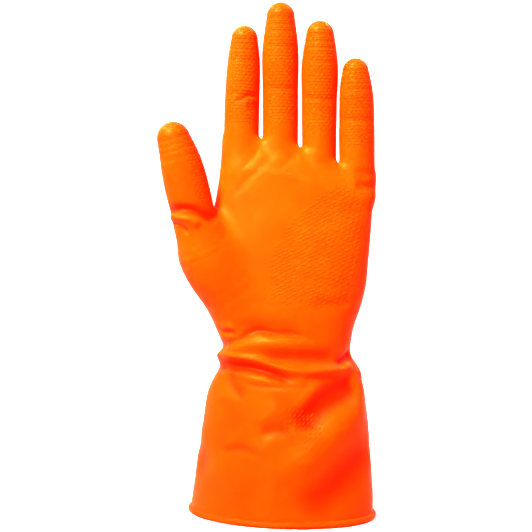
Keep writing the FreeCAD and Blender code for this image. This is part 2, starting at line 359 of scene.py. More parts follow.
@dataclass
class Digit:
    """A finger or the thumb: its place comes from the joints' creases, its fullness from its radii.

    The radii, in mm, are at the foot inside the palm, at each crease and at the centre of the tip's dome, and
    so is the drift: how far the film's middle lies to the side of the joints' line. The tip margin is how far
    the dome ends below the top of the CAD's.
    """

    name: str
    radii: tuple[float, ...]
    crease_radii: tuple[float, ...]
    end_bend: float
    tip_margin: float
    before: tuple[float, ...]
    after: tuple[float, ...]
    drift: tuple[float, ...] = (0.0, 0.0, 0.0, 0.0, 0.0)
    flatness: float = 0.95
    foot: float = 26.0
    tube: Tube = field(init=False)
    bends: list[Bend] = field(init=False)
    hinge: Array = field(init=False)

    def __post_init__(self) -> None:
        """Lays the spine through the joints."""
        joints = [j for j in frame["joints"] if j["child"].startswith(self.name + "_")]
        creases = [np.array(j["pos_m"]) / MM for j in joints]
        self.hinge = unit(np.array(joints[0]["axis"]))
        ways = []
        for crease, following in zip(creases, creases[1:]):
            way = following - crease
            ways.append(unit(way - self.hinge * (way @ self.hinge)))
        ways.append(turned(ways[-1], self.hinge, self.end_bend))
        knots = [
            crease - np.cross(self.hinge, way) * radius
            for crease, way, radius in zip(creases, ways, self.crease_radii)
        ]
        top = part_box(joints[-1]["child"] + "_shell")[1].z / MM
        rise = (top - self.radii[-1] - self.tip_margin - knots[-1][2]) / ways[-1][2]
        end = knots[-1] + ways[-1] * rise
        start = knots[0] - ways[0] * self.foot
        line = [p + np.array([dx, 0.0, 0.0]) for p, dx in zip([start, *knots, end], self.drift)]
        steps = [np.linalg.norm(b - a) for a, b in zip(line, line[1:])]
        lengths = np.concatenate([[0.0], np.cumsum(steps)])
        self.tube = Tube(
            smooth_path(line, 4), lengths - self.foot, np.array(self.radii), np.cross(self.hinge, ways[0]),
            self.flatness,
        )
        self.bends = [
            Bend(j["parent"], j["child"], station, before, after)
            for j, station, before, after in zip(joints, (lengths - self.foot)[1:], self.before, self.after)
        ]

    def stretches(self) -> Iterator[tuple[Bend, float, float, tuple[Array, Array]]]:
        """Divides the digit's film below its first bend and between each two.

        Returns:
            Each bend, the two stations that its film lies between, and where it starts and ends to turn.
        """
        first = self.bends[0].centre - self.bends[0].before
        pairs = zip(self.bends, self.bends[1:])
        between = [(a.centre + a.after + b.centre - b.before) / 2 for a, b in pairs]
        cuts = [first, *between, FAR]
        for bend, low, high in zip(self.bends, cuts, cuts[1:]):
            point, way = self.tube.point(bend.centre), self.tube.heading(bend.centre)
            yield bend, low, high, (point - way * bend.before, point + way * bend.after)

    def pad_at(self, station: float) -> tuple[Array, Array, Array]:
        """The directions along the digit, out of its pad, and across the pad, at a station."""
        along = self.tube.heading(station)
        out = unit(np.cross(self.hinge, along))
        return along, out, np.cross(along, out)


@dataclass
class GloveForm:
    """The whole outside of the glove as one distance field."""

    sleeve: Sleeve
    ball: Tube
    digits: tuple[Digit, ...]
    ball_fillet: float = 11.0
    web_fillet: float = 4.2
    crotch_fillet: float = 1.2
    least_gap: float = 1.3
    sight_start: float = 45.0
    sight_steps: int = 60
    deepest_seen: float = 12.0

    def distance(self, p: Array) -> Array:
        """Distance to the glove's outside, in mm, close to its surface.

        Args:
            p: Points in mm.

        Returns:
            Distances in mm, negative inside.
        """
        hand = smooth_union(self.sleeve.distance(p), self.ball.nearest(p)[0], self.ball_fillet)
        gaps = np.sort([d.tube.nearest(p)[0] for d in self.digits if d.name != "thumb"], axis=0)
        hand = smooth_union(hand, gaps[0], self.web_fillet)
        above = smoothstep(self.sleeve.below_web(p), 1.0, 4.0)
        slit = (self.least_gap - gaps[1] + gaps[0]) / 2.0 - 2.0 * (1.0 - above)
        hand = np.maximum(hand, slit)
        thumb = next(d for d in self.digits if d.name == "thumb")
        return smooth_union(hand, thumb.tube.nearest(p)[0], self.crotch_fillet)

    def slope(self, p: Array, value: Array, step: float = 0.05) -> Array:
        """The gradient of the distance at each point."""
        return np.stack([(self.distance(p + step * e) - value) / step for e in np.eye(3)], axis=1)

    def settle(self, p: Array, rounds: int) -> Array:
        """Moves points that are near the surface onto it.

        Args:
            p: Points in mm.
            rounds: How many steps to take.

        Returns:
            The points on the surface.
        """
        for _ in range(rounds):
            value = self.distance(p)
            slope = self.slope(p, value)
            steep = np.maximum(np.einsum("ij,ij->i", slope, slope), 0.05)
            p = p - np.clip(value / steep, -1.5, 1.5)[:, None] * slope
        return p

    def outward(self, p: Array) -> Array:
        """Unit normals at points on the surface."""
        return unit(self.slope(p, self.distance(p)))

    def seen(self, sketch: Array) -> tuple[Array, Array]:
        """Lays a flat sketch of the palm side on the surface, along the sight lines of a viewer.

        Args:
            sketch: Rows of x and height in the plane y = 0, in mm, heights counted from SKETCH_ZERO.

        Returns:
            The places on the surface, and whether each sight line met it.
        """
        aim = np.stack([sketch[:, 0], np.zeros(len(sketch)), sketch[:, 1] + SKETCH_ZERO], axis=1)
        way = unit(aim - np.array(SKETCH_EYE))
        p = aim - way * self.sight_start
        for _ in range(self.sight_steps):
            p = p + np.clip(self.distance(p), -3.0, 3.0)[:, None] * 0.8 * way
        return p, (np.abs(self.distance(p)) < 0.3) & (p[:, 1] < self.deepest_seen)


# ---- folds ----


@dataclass(frozen=True)
class Fold:
    """A soft ridge or valley of the film along a path.

    The path is in mm, x and height. The height of the fold is negative for a valley. The width is the
    distance from its middle line at which it has sunk to 60 percent. The fade is the share of its length that
    each end takes to run out.
    """

    path: tuple[tuple[float, float], ...]
    height: float
    width: float
    side: Side = Side.FRONT
    fade: float = 0.3

    def lift(self, across: Array, up: Array, line: Array) -> Array:
        """The fold's height at each place, both in the flat plane that its path is drawn in.

        Args:
            across: The places' first coordinate in that plane, in mm.
            up: Their heights in mm.
            line: The path as a smooth line.

        Returns:
            Heights over the smooth film, in mm.
        """
        out = np.zeros(len(across))
        reach = 3.2 * self.width
        near = (
            (across > line[:, 0].min() - reach)
            & (across < line[:, 0].max() + reach)
            & (up > line[:, 1].min() - reach)
            & (up < line[:, 1].max() + reach)
        )
        q = np.stack([across[near], up[near]], axis=1)
        best, share = np.full(len(q), FAR), np.zeros(len(q))
        runs = np.diff(line, axis=0)
        lengths = np.linalg.norm(runs, axis=1)
        arc = arc_lengths(line)
        for start, run, length, before in zip(line, runs, lengths, arc):
            t = np.clip((q - start) @ run / (length * length), 0.0, 1.0)
            gap = np.linalg.norm(q - start - t[:, None] * run, axis=1)
            closer = gap < best
            best = np.where(closer, gap, best)
            share = np.where(closer, before + t * length, share)
        share /= arc[-1]
        fade = max(self.fade, 1e-3)
        ends = smoothstep(share, 0.0, fade) * smoothstep(1.0 - share, 0.0, fade)
        out[near] = self.height * ends * np.exp(-0.5 * (best / self.width) ** 2)
        return out


@dataclass
class Relief:
    """All folds of the film, laid on the glove's smooth form."""

    form: GloveForm
    folds: tuple[Fold, ...]
    oval: tuple[float, float] = (44.0, 29.0)

    def __post_init__(self) -> None:
        """Measures the way round a typical level, for folds that run round the sleeve."""
        self.angles = np.linspace(-math.pi * 1.25, math.pi * 1.25, 801)
        speed = np.hypot(self.oval[0] * np.cos(self.angles), self.oval[1] * np.sin(self.angles))
        length = np.concatenate([[0.0], np.cumsum((speed[1:] + speed[:-1]) / 2 * np.diff(self.angles))])
        self.lengths = length - np.interp(0.0, self.angles, length)
        self.lines = [self.line(fold) for fold in self.folds]

    def girth(self, angle: Array | float) -> Array | float:
        """The way round the sleeve from its middle to an angle, in mm."""
        return np.interp(angle, self.angles, self.lengths)

    def line(self, fold: Fold) -> Array:
        """A fold's path as a smooth line in the plane that its side is read in.

        Args:
            fold: The fold.

        Returns:
            The line's points, one row each.
        """
        flat = smooth_path(fold.path, 4)
        if fold.side is Side.KNUCKLES:
            return flat
        if fold.side is Side.BACK:
            return self.rolled(flat)
        places, met = self.form.seen(flat)
        flat = flat + np.array([0.0, SKETCH_ZERO])
        if fold.side is Side.PALM:
            return np.where(met[:, None], places[:, [0, 2]], flat)
        on_film = np.stack([self.girth(self.form.sleeve.around(places)), places[:, 2]], axis=1)
        return np.where(met[:, None], on_film, self.rolled(flat))

    def rolled(self, flat: Array) -> Array:
        """Turns x into the way round the sleeve."""
        return np.array([(self.girth(self.form.sleeve.angle_of(x, z)), z) for x, z in flat])

    def lift(self, p: Array, normal: Array) -> Array:
        """How far the film stands off its smooth form at each point, in mm.

        Args:
            p: Points on the smooth form, in mm.
            normal: Their unit normals.

        Returns:
            Heights in mm, negative in a valley.
        """
        angle = self.form.sleeve.around(p)
        front = self.girth(angle)
        back = self.girth(np.mod(angle, 2 * math.pi) * -1.0 + math.pi)
        palm = smoothstep(-normal[:, 1], -0.15, 0.45)
        knuckles = smoothstep(normal[:, 1], -0.15, 0.45)
        total = self.sway(p)
        for fold, line in zip(self.folds, self.lines):
            if fold.side is Side.FRONT:
                total += fold.lift(front, p[:, 2], line)
            elif fold.side is Side.BACK:
                total += fold.lift(back, p[:, 2], line)
            else:
                facing = palm if fold.side is Side.PALM else knuckles
                total += fold.lift(p[:, 0], p[:, 2], line) * facing
        return total

    def sway(self, p: Array) -> Array:
        """The slight waviness of a loose film: strong in the cuff, faint on the hand.

        Args:
            p: Points in mm.

        Returns:
            Heights in mm.
        """
        x, y, z = p.T
        slack = 0.45 * (1.0 - smoothstep(z, 60.0, 130.0)) + 0.12
        slack *= smoothstep(z, 3.0, 14.0)
        wave = np.sin(x / 7.3 + 0.8 * np.sin(z / 11.0)) * np.sin(z / 9.1 + y / 12.0 + 0.6)
        wave += 0.6 * np.sin(x / 4.7 - z / 6.3 + 1.1) * np.sin(y / 6.9 + z / 14.0)
        return slack * wave * 0.55

    def place(self, p: Array) -> tuple[Array, Array]:
        """Lifts points that lie on the smooth form onto the folded film, and gives their normals."""
        normal = self.form.outward(p)
        return p + normal * self.lift(p, normal)[:, None], normal


# ---- the net of faces ----


@dataclass
class FilmNet:
    """Four-sided faces over the whole glove: a coarse net, and a fine one with each face cut in four."""

    relief: Relief
    pitch: float = 1.0
    low: tuple[float, float, float] = (-78.0, -41.0, 3.0)
    high: tuple[float, float, float] = (62.0, 39.0, 305.0)
    smooth: Array = field(init=False)
    coarse: Array = field(init=False)
    fine: Array = field(init=False)
    points: Array = field(init=False)
    normals: Array = field(init=False)
    lifts: Array = field(init=False)
    edge_keys: Array = field(init=False)
    coarse_count: int = field(init=False)

    def __post_init__(self) -> None:
        """Wraps the form, cuts the faces and folds the result."""
        axes = [np.arange(a, b + self.pitch, self.pitch) for a, b in zip(self.low, self.high)]
        grid = np.stack(np.meshgrid(*axes, indexing="ij"), axis=-1)
        shape = grid.shape[:3]
        values = np.concatenate([self.relief.form.distance(slab.reshape(-1, 3)) for slab in grid])
        values = values.reshape(shape)
        points, self.coarse = self.wrap(values, axes)
        points = self.relief.form.settle(points, 3)
        points, self.fine = self.cut_in_four(points)
        self.smooth = self.relief.form.settle(points, 1)
        normal = self.vertex_normals(self.smooth, self.fine)
        self.lifts = self.relief.lift(self.smooth, normal)
        self.points = self.smooth + normal * self.lifts[:, None]
        self.normals = self.vertex_normals(self.points, self.fine)

    def wrap(self, values: Array, axes: list[Array]) -> tuple[Array, Array]:
        """Puts a vertex in each cell that the surface crosses and a face over each crossed grid edge.

        Args:
            values: Distances at the grid's nodes.
            axes: The grid's coordinates along each axis, in mm.

        Returns:
            Vertices in mm, and faces as rows of four vertex numbers, facing outwards.
        """
        inside = values < 0
        count = sum(
            inside[i : i - 1 or None, j : j - 1 or None, k : k - 1 or None].astype(np.int8)
            for i in (0, 1)
            for j in (0, 1)
            for k in (0, 1)
        )
        cells = np.argwhere((count > 0) & (count < 8))
        corners = np.array([(i, j, k) for i in (0, 1) for j in (0, 1) for k in (0, 1)])
        at = cells[:, None, :] + corners[None]
        corner_values = values[at[..., 0], at[..., 1], at[..., 2]]
        total, hits = np.zeros((len(cells), 3)), np.zeros(len(cells))
        for a in range(8):
            for b in range(a + 1, 8):
                if np.abs(corners[a] - corners[b]).sum() != 1:
                    continue
                va, vb = corner_values[:, a], corner_values[:, b]
                crossed = (va < 0) != (vb < 0)
                t = np.where(crossed, va / np.where(crossed, va - vb, 1.0), 0.0)
                spot = corners[a] + t[:, None] * (corners[b] - corners[a])
                total += spot * crossed[:, None]
                hits += crossed
        start = np.array([axis[0] for axis in axes])
        vertices = start + (cells + total / hits[:, None]) * self.pitch
        number = np.full(count.shape, -1)
        number[tuple(cells.T)] = np.arange(len(cells))
        faces = []
        for axis in range(3):
            other = [(axis + 1) % 3, (axis + 2) % 3]
            first = [slice(None)] * 3
            second = [slice(None)] * 3
            first[axis], second[axis] = slice(0, -1), slice(1, None)
            for side in other:
                first[side] = second[side] = slice(1, -1)
            a, b = inside[tuple(first)], inside[tuple(second)]
            where = np.argwhere(a != b)
            leaving = a[tuple(where.T)]
            node = where.copy()
            node[:, other] += 1
            ring = []
            for du, dv in ((-1, -1), (0, -1), (0, 0), (-1, 0)):
                cell = node.copy()
                cell[:, other[0]] += du
                cell[:, other[1]] += dv
                ring.append(number[tuple(cell.T)])
            quad = np.stack(ring, axis=1)
            faces.append(np.where(leaving[:, None], quad, quad[:, ::-1]))
        quads = np.vstack(faces)
        return vertices, quads[(quads >= 0).all(axis=1)]

    def cut_in_four(self, points: Array) -> tuple[Array, Array]:
        """Adds a vertex on each edge and in each face of the coarse net.

        Args:
            points: The coarse vertices, in mm.

        Returns:
            All vertices, and the fine faces.
        """
        q = self.coarse
        count = len(points)
        edges = np.sort(np.stack([q, np.roll(q, -1, axis=1)], axis=2).reshape(-1, 2), axis=1)
        keys, place = np.unique(edges[:, 0] * count + edges[:, 1], return_inverse=True)
        ends = np.stack([keys // count, keys % count], axis=1)
        middles = points[ends].mean(axis=1)
        centres = points[q].mean(axis=1)
        self.edge_keys, self.coarse_count = keys, count
        e = place.reshape(-1, 4) + count
        c = np.arange(len(q)) + count + len(keys)
        (q0, q1, q2, q3), (e0, e1, e2, e3) = q.T, e.T
        quarters = (q0, e0, c, e3), (e0, q1, e1, c), (c, e1, q2, e2), (e3, c, e2, q3)
        fine = np.stack([np.stack(quarter, axis=1) for quarter in quarters], axis=1)
        return np.vstack([points, middles, centres]), fine.reshape(-1, 4)

    def edge_middle(self, a: Array, b: Array) -> Array:
        """The fine vertex on each coarse edge."""
        key = np.minimum(a, b) * self.coarse_count + np.maximum(a, b)
        return np.searchsorted(self.edge_keys, key) + self.coarse_count

    @staticmethod
    def vertex_normals(points: Array, faces: Array) -> Array:
        """Unit normals of the vertices, from the faces around each.

        Args:
            points: The vertices, in mm.
            faces: Rows of four vertex numbers.

        Returns:
            A row for each vertex.
        """
        p = points[faces]
        normal = np.cross(p[:, 2] - p[:, 0], p[:, 3] - p[:, 1])
        sums = [sum(np.bincount(corner, way, len(points)) for corner in faces.T) for way in normal.T]
        return unit(np.stack(sums, axis=1))

    def rim(self, faces: Array) -> tuple[Array, Array]:
        """The open edges of some coarse faces, each from its first to its second vertex.

        Args:
            faces: The faces.

        Returns:
            The first and the second vertex of each open edge.
        """
        a, b = faces.ravel(), np.roll(faces, -1, axis=1).ravel()
        key = np.minimum(a, b) * self.coarse_count + np.maximum(a, b)
        _, place, uses = np.unique(key, return_inverse=True, return_counts=True)
        open_edge = uses[place] == 1
        return a[open_edge], b[open_edge]


def make_mesh(name: str, points: Array, rings: Iterable[Array]) -> Mesh:
    """Makes a mesh from faces of several sizes.

    Args:
        name: The mesh's name.
        points: Vertices in mm.
        rings: Arrays of faces, each with one column for a corner.

    Returns:
        The mesh, in metres and smooth.
    """
    rings = [r for r in rings if len(r)]
    corners = np.concatenate([r.ravel() for r in rings])
    sizes = np.concatenate([np.full(len(r), r.shape[1]) for r in rings])
    mesh = bpy.data.meshes.new(name)
    mesh.vertices.add(len(points))
    mesh.vertices.foreach_set("co", (points * MM).astype(np.float32).ravel())
    mesh.loops.add(len(corners))
    mesh.loops.foreach_set("vertex_index", corners.astype(np.int32))
    mesh.polygons.add(len(sizes))
    mesh.polygons.foreach_set("loop_start", (np.cumsum(sizes) - sizes).astype(np.int32))
    mesh.update(calc_edges=True)
    mesh.shade_smooth()
    return mesh


def make_object(name: str, data: ID, material: Material | None = None) -> Object:
    """Puts a mesh, a light or a camera into the scene at the origin."""
    item = bpy.data.objects.new(name, data)
    bpy.context.scene.collection.objects.link(item)
    if material is not None:
        data.materials.append(material)
    return item


def keep_rest(item: Object) -> None:
    """Stores where each vertex stands at rest, for the finish to read."""
    co = np.empty(len(item.data.vertices) * 3, np.float32)
    item.data.vertices.foreach_get("co", co)
    item.data.attributes.new("rest", "FLOAT_VECTOR", "POINT").data.foreach_set("vector", co)


@dataclass
class FilmCutter:
    """Cuts the net into closed pieces of film and of lining, one for each stretch that follows a joint."""

    net: FilmNet
    film_wall: float = 0.45
    flock_start: float = 0.5
    flock_end: float = 0.85

    def film(self, name: str, chosen: Array, material: Material) -> Object:
        """A closed piece of the rubber film.

        Args:
            name: The piece's name.
            chosen: True for each coarse face that belongs to it.
            material: Its finish.

        Returns:
            The piece.
        """
        net = self.net
        coarse = net.coarse[chosen]
        fine = net.fine.reshape(-1, 4, 4)[chosen].reshape(-1, 4)
        outer, outer_faces = np.unique(fine, return_inverse=True)
        inner, inner_faces = np.unique(coarse, return_inverse=True)
        outer_faces, inner_faces = outer_faces.reshape(-1, 4), inner_faces.reshape(-1, 4) + len(outer)
        a, b = net.rim(coarse)
        rim = [np.searchsorted(outer, place) for place in (b, net.edge_middle(a, b), a)]
        rim += [np.searchsorted(inner, place) + len(outer) for place in (a, b)]
        points = np.vstack([net.points[outer], net.points[inner] - net.normals[inner] * self.film_wall])
        mesh = make_mesh(name, points, [outer_faces, inner_faces[:, ::-1], np.stack(rim, axis=1)])
        shade = np.vstack([net.normals[outer], -net.normals[inner]])
        lifts = np.concatenate([net.lifts[outer], net.lifts[inner]])
        self.finish(mesh, points, shade, lifts)
        return make_object(name, mesh, material)

    def flock(self, name: str, chosen: Array, material: Material) -> Object:
        """A closed piece of the cotton lining behind the same faces.

        Args:
            name: The piece's name.
            chosen: True for each coarse face that it lies behind.
            material: Its finish.

        Returns:
            The piece.
        """
        net = self.net
        used, faces = np.unique(net.coarse[chosen], return_inverse=True)
        faces = faces.reshape(-1, 4)
        a, b = (np.searchsorted(used, side) for side in net.rim(net.coarse[chosen]))
        count = len(used)
        rim = np.stack([b, a, a + count, b + count], axis=1)
        place, normal = net.points[used], net.normals[used]
        points = np.vstack([place - normal * self.flock_start, place - normal * self.flock_end])
        mesh = make_mesh(name, points, [faces, faces[:, ::-1] + count, rim])
        self.finish(mesh, points, np.vstack([normal, -normal]), np.tile(net.lifts[used], 2))
        return make_object(name, mesh, material)

    @staticmethod
    def finish(mesh: Mesh, points: Array, shade: Array, lifts: Array) -> None:
        """Gives a piece the whole glove's normals, and the attributes that its finish reads.

        Args:
            mesh: The piece's mesh.
            points: Its vertices, in mm.
            shade: Their normals.
            lifts: How far the film stands off its smooth form there.
        """
        mesh.normals_split_custom_set_from_vertices(shade.tolist())
        rest = mesh.attributes.new("rest", "FLOAT_VECTOR", "POINT")
        rest.data.foreach_set("vector", (points * MM).astype(np.float32).ravel())
        # valley: painted shade, rising from 0 to 1 as a fold's valley deepens to 3 mm; the latex finish
        # darkens its colour by it
        valley = mesh.attributes.new("valley", "FLOAT", "POINT")
        valley.data.foreach_set("value", np.clip(-lifts / 3.0, 0.0, 1.0).astype(np.float32))


# ---- finishes ----


def linear(hex_colour: str) -> tuple[float, float, float, float]:
    """Turns an sRGB colour such as #FF5500 into the linear values that shaders take."""
    parts = [int(hex_colour[i : i + 2], 16) / 255 for i in (1, 3, 5)]
    r, g, b = (c / 12.92 if c <= 0.04045 else ((c + 0.055) / 1.055) ** 2.4 for c in parts)
    return (r, g, b, 1.0)


def add_node(
    tree: NodeTree,
    kind: str,
    settings: dict[str, object] | None = None,
    values: dict[str | int, object] | None = None,
    links: dict[str | int, NodeSocket] | None = None,
) -> Node:
    """Adds a node to a tree.

    Args:
        tree: The tree.
        kind: The node's type.
        settings: The node's own settings.
        values: Input sockets, by name or number, and the values they are set to.
        links: Input sockets, by name or number, and the output sockets that feed them.

    Returns:
        The node.
    """
    node = tree.nodes.new(kind)
    for key, value in (settings or {}).items():
        setattr(node, key, value)
    for key, value in (values or {}).items():
        node.inputs[key].default_value = value
    for key, socket in (links or {}).items():
        tree.links.new(socket, node.inputs[key])
    return node


def spans(*ends: float) -> dict[str, float]:
    """The four ends of a Map Range node, as its values."""
    return dict(zip(("From Min", "From Max", "To Min", "To Max"), ends))


def new_material(name: str) -> tuple[Material, Callable[..., Node]]:
    """An empty node material, and add_node for its tree."""
    material = bpy.data.materials.new(name)
    material.use_nodes = True
    material.node_tree.nodes.clear()
    return material, partial(add_node, material.node_tree)


@dataclass(frozen=True)
class LatexFinish:
    """Dip-moulded natural rubber latex, chlorinated after dipping: saturated, softly glossy, faintly uneven.

    The pigment is even. Where the film sinks into a fold's valley the colour is darkened towards a deeper
    red: painted shade in the creases.
    """

    name: str = "orange dipped latex, satin"
    colour: str = "#FF4700"
    deep: str = "#FF3600"
    # painted shade: the darker red that the colour is mixed towards in the folds' valleys
    crease_shade_colour: str = "#F62200"
    roughness: float = 0.44
    ior: float = 1.52
    blotch_mm: float = 16.0
    ripple_mm: float = 2.6
    grain_mm: float = 0.8

    def build(self) -> Material:
        """Makes the material."""
        material, node = new_material(self.name)
        rest = node("ShaderNodeAttribute", {"attribute_name": "rest"}).outputs["Vector"]
        # the valley share: how much painted crease shade each point gets
        valley = node("ShaderNodeAttribute", {"attribute_name": "valley"}).outputs["Fac"]
        blotch, ripple, grain = (
            node("ShaderNodeTexNoise", None, {"Scale": 1 / (mm * MM), "Detail": detail}, {"Vector": rest})
            for mm, detail in ((self.blotch_mm, 3.0), (self.ripple_mm, 2.0), (self.grain_mm, 1.0))
        )
        even = node(
            "ShaderNodeMapRange", None,
            spans(0.3, 0.7, 0.0, 0.35), {"Value": blotch.outputs["Fac"]},
        )
        body = node(
            "ShaderNodeMix", {"data_type": "RGBA"}, {6: linear(self.colour), 7: linear(self.deep)},
            {0: even.outputs["Result"]},
        )
        # painted shade in the creases: the colour darkened towards the deeper red by the valley share
        folded = node(
            "ShaderNodeMix", {"data_type": "RGBA"}, {7: linear(self.crease_shade_colour)},
            {0: valley, 6: body.outputs[2]},
        )
        rough = node(
            "ShaderNodeMapRange", None,
            spans(0.3, 0.7, self.roughness - 0.05, self.roughness + 0.06),
            {"Value": ripple.outputs["Fac"]},
        )
        wave = node(
            "ShaderNodeBump", None, {"Strength": 1.0, "Distance": 0.00006}, {"Height": ripple.outputs["Fac"]}
        )
        peel = node(
            "ShaderNodeBump", None, {"Strength": 0.6, "Distance": 0.00002},
            {"Height": grain.outputs["Fac"], "Normal": wave.outputs["Normal"]},
        )
        shader = node(
            "ShaderNodeBsdfPrincipled", {"subsurface_method": "RANDOM_WALK"},
            {
                "IOR": self.ior,
                "Specular IOR Level": 0.15,
                "Specular Tint": linear("#FFB060"),
                "Subsurface Weight": 0.25,
                "Subsurface Radius": (1.0, 0.12, 0.03),
                "Subsurface Scale": 0.0035,
            },
            {
                "Base Color": folded.outputs[2],
                "Roughness": rough.outputs["Result"],
                "Normal": peel.outputs["Normal"],
            },
        )
        node("ShaderNodeOutputMaterial", links={"Surface": shader.outputs["BSDF"]})
        return material


@dataclass(frozen=True)
class FlockFinish:
    """Cotton flock: short fibres that stand in adhesive, cream with the film's orange showing through."""

    name: str = "cotton flock, short fibres"
    colour: str = "#F4CFA2"
    thin: str = "#F09A55"
    fibre_mm: float = 0.7
    patch_mm: float = 7.0

    def build(self) -> Material:
        """Makes the material."""
        material, node = new_material(self.name)
        rest = node("ShaderNodeAttribute", {"attribute_name": "rest"}).outputs["Vector"]
        fibre = node(
            "ShaderNodeTexNoise", None,
            {"Scale": 1 / (self.fibre_mm * MM), "Detail": 4.0, "Roughness": 0.7}, {"Vector": rest},
        )
        patch = node(
            "ShaderNodeTexNoise", None, {"Scale": 1 / (self.patch_mm * MM), "Detail": 2.0}, {"Vector": rest}
        )
        cover = node(
            "ShaderNodeMapRange", None,
            spans(0.35, 0.75, 0.0, 0.8), {"Value": patch.outputs["Fac"]},
        )
        body = node(
            "ShaderNodeMix", {"data_type": "RGBA"}, {6: linear(self.colour), 7: linear(self.thin)},
            {0: cover.outputs["Result"]},
        )
        pile = node(
            "ShaderNodeBump", None, {"Strength": 0.9, "Distance": 0.0003}, {"Height": fibre.outputs["Fac"]}
        )
        shader = node(
            "ShaderNodeBsdfPrincipled", None,
            {"Roughness": 0.95, "Sheen Weight": 0.5, "Sheen Roughness": 0.6, "Specular IOR Level": 0.2},
            {"Base Color": body.outputs[2], "Normal": pile.outputs["Normal"]},
        )
        node("ShaderNodeOutputMaterial", links={"Surface": shader.outputs["BSDF"]})
        return material


@dataclass(frozen=True)
class PaperFinish:
    """Matt white backdrop paper, with a barely visible mottle."""

    name: str = "backdrop paper, matt white"
    colour: str = "#F7F7F6"
    shade: str = "#F0F0EF"
    mottle_mm: float = 60.0

    def build(self) -> Material:
        """Makes the material."""
        material, node = new_material(self.name)
        place = node("ShaderNodeTexCoord").outputs["Object"]
        mottle = node(
            "ShaderNodeTexNoise", None, {"Scale": 1 / (self.mottle_mm * MM), "Detail": 3.0}, {"Vector": place}
        )
        body = node(
            "ShaderNodeMix", {"data_type": "RGBA"}, {6: linear(self.colour), 7: linear(self.shade)},
            {0: mottle.outputs["Fac"]},
        )
        shader = node(
            "ShaderNodeBsdfPrincipled", None, {"Roughness": 0.9, "Specular IOR Level": 0.1},
            {"Base Color": body.outputs[2]},
        )
        node("ShaderNodeOutputMaterial", links={"Surface": shader.outputs["BSDF"]})
        return material


# ---- repeated details by Geometry Nodes ----


def grown(name: str, mesh: Mesh, tree: NodeTree, sizes: dict[str, object]) -> Object:
    """Runs a geometry tree on a mesh and keeps the result as a plain mesh.

    Args:
        name: The finished piece's name.
        mesh: What the tree starts from.
        tree: The geometry tree.
        sizes: The tree's named inputs and their values.

    Returns:
        The finished piece, with no modifier left on it.
    """
    host = make_object(name, mesh)
    modifier = host.modifiers.new("grow", "NODES")
    modifier.node_group = tree
    sockets = {s.name: s.identifier for s in tree.interface.items_tree if s.item_type == "SOCKET"}
    for key, value in sizes.items():
        modifier[sockets[key]] = value
    bpy.context.view_layer.update()
    result = bpy.data.meshes.new_from_object(host.evaluated_get(bpy.context.evaluated_depsgraph_get()))
    host.modifiers.clear()
    host.data = result
    result.name = name
    return host


def new_tree(name: str, sizes: dict[str, float]) -> tuple[NodeTree, Node, Callable[..., Node]]:
    """A geometry tree with named number inputs, its input node, and add_node for it."""
    tree = bpy.data.node_groups.new(name, "GeometryNodeTree")
    tree.interface.new_socket("Geometry", in_out="INPUT", socket_type="NodeSocketGeometry")
    for key, value in sizes.items():
        tree.interface.new_socket(key, in_out="INPUT", socket_type="NodeSocketFloat").default_value = value
    tree.interface.new_socket("Material", in_out="INPUT", socket_type="NodeSocketMaterial")
    tree.interface.new_socket("Geometry", in_out="OUTPUT", socket_type="NodeSocketGeometry")
    return tree, tree.nodes.new("NodeGroupInput"), partial(add_node, tree)


def close_tree(node: Callable[..., Node], entry: Node, shape: NodeSocket) -> None:
    """Ends a tree with smooth shading, real geometry and its material."""
    smooth = node("GeometryNodeSetShadeSmooth", links={"Geometry": shape})
    real = node("GeometryNodeRealizeInstances", links={"Geometry": smooth.outputs[0]})
    dressed = node(
        "GeometryNodeSetMaterial", links={"Geometry": real.outputs[0], "Material": entry.outputs["Material"]},
    )
    node("NodeGroupOutput", links={0: dressed.outputs[0]})


def bead_tree() -> NodeTree:
    """Rolls a round bead along the edges of a ring."""
    tree, entry, node = new_tree("rolled bead", {"Radius": 0.002})
    path = node("GeometryNodeMeshToCurve", links={"Mesh": entry.outputs["Geometry"]})
    section = node(
        "GeometryNodeCurvePrimitiveCircle", None, {"Resolution": 20}, {"Radius": entry.outputs["Radius"]}
    )
    roll = node(
        "GeometryNodeCurveToMesh", links={"Curve": path.outputs[0], "Profile Curve": section.outputs[0]},
    )
    close_tree(node, entry, roll.outputs[0])
    return tree


def dash_tree() -> NodeTree:
    """Sets a small raised dash on each point, standing along its out attribute, lying along its lay one."""
    tree, entry, node = new_tree("raised dashes", {"Length": 0.002, "Width": 0.001, "Height": 0.0006})
    bump = node("GeometryNodeMeshUVSphere", None, {"Segments": 8, "Rings": 5, "Radius": 0.5})
    size = node(
        "ShaderNodeCombineXYZ",
        links={axis: entry.outputs[side] for axis, side in zip("XYZ", ("Length", "Width", "Height"))},
    )
    dash = node("GeometryNodeTransform", links={"Geometry": bump.outputs["Mesh"], "Scale": size.outputs[0]})
    out = node("GeometryNodeInputNamedAttribute", {"data_type": "FLOAT_VECTOR"}, {"Name": "out"})
    lay = node("GeometryNodeInputNamedAttribute", {"data_type": "FLOAT_VECTOR"}, {"Name": "lay"})
    upright = node(
        "FunctionNodeAlignRotationToVector", {"axis": "Z"}, None, {"Vector": out.outputs["Attribute"]}
    )
    turned_dash = node(
        "FunctionNodeAlignRotationToVector", {"axis": "X", "pivot_axis": "Z"}, None,
        {"Rotation": upright.outputs[0], "Vector": lay.outputs["Attribute"]},
    )
    spread = node(
        "GeometryNodeInstanceOnPoints", links={
            "Points": entry.outputs["Geometry"],
            "Instance": dash.outputs[0],
            "Rotation": turned_dash.outputs[0],
        },
    )
    close_tree(node, entry, spread.outputs[0])
    return tree


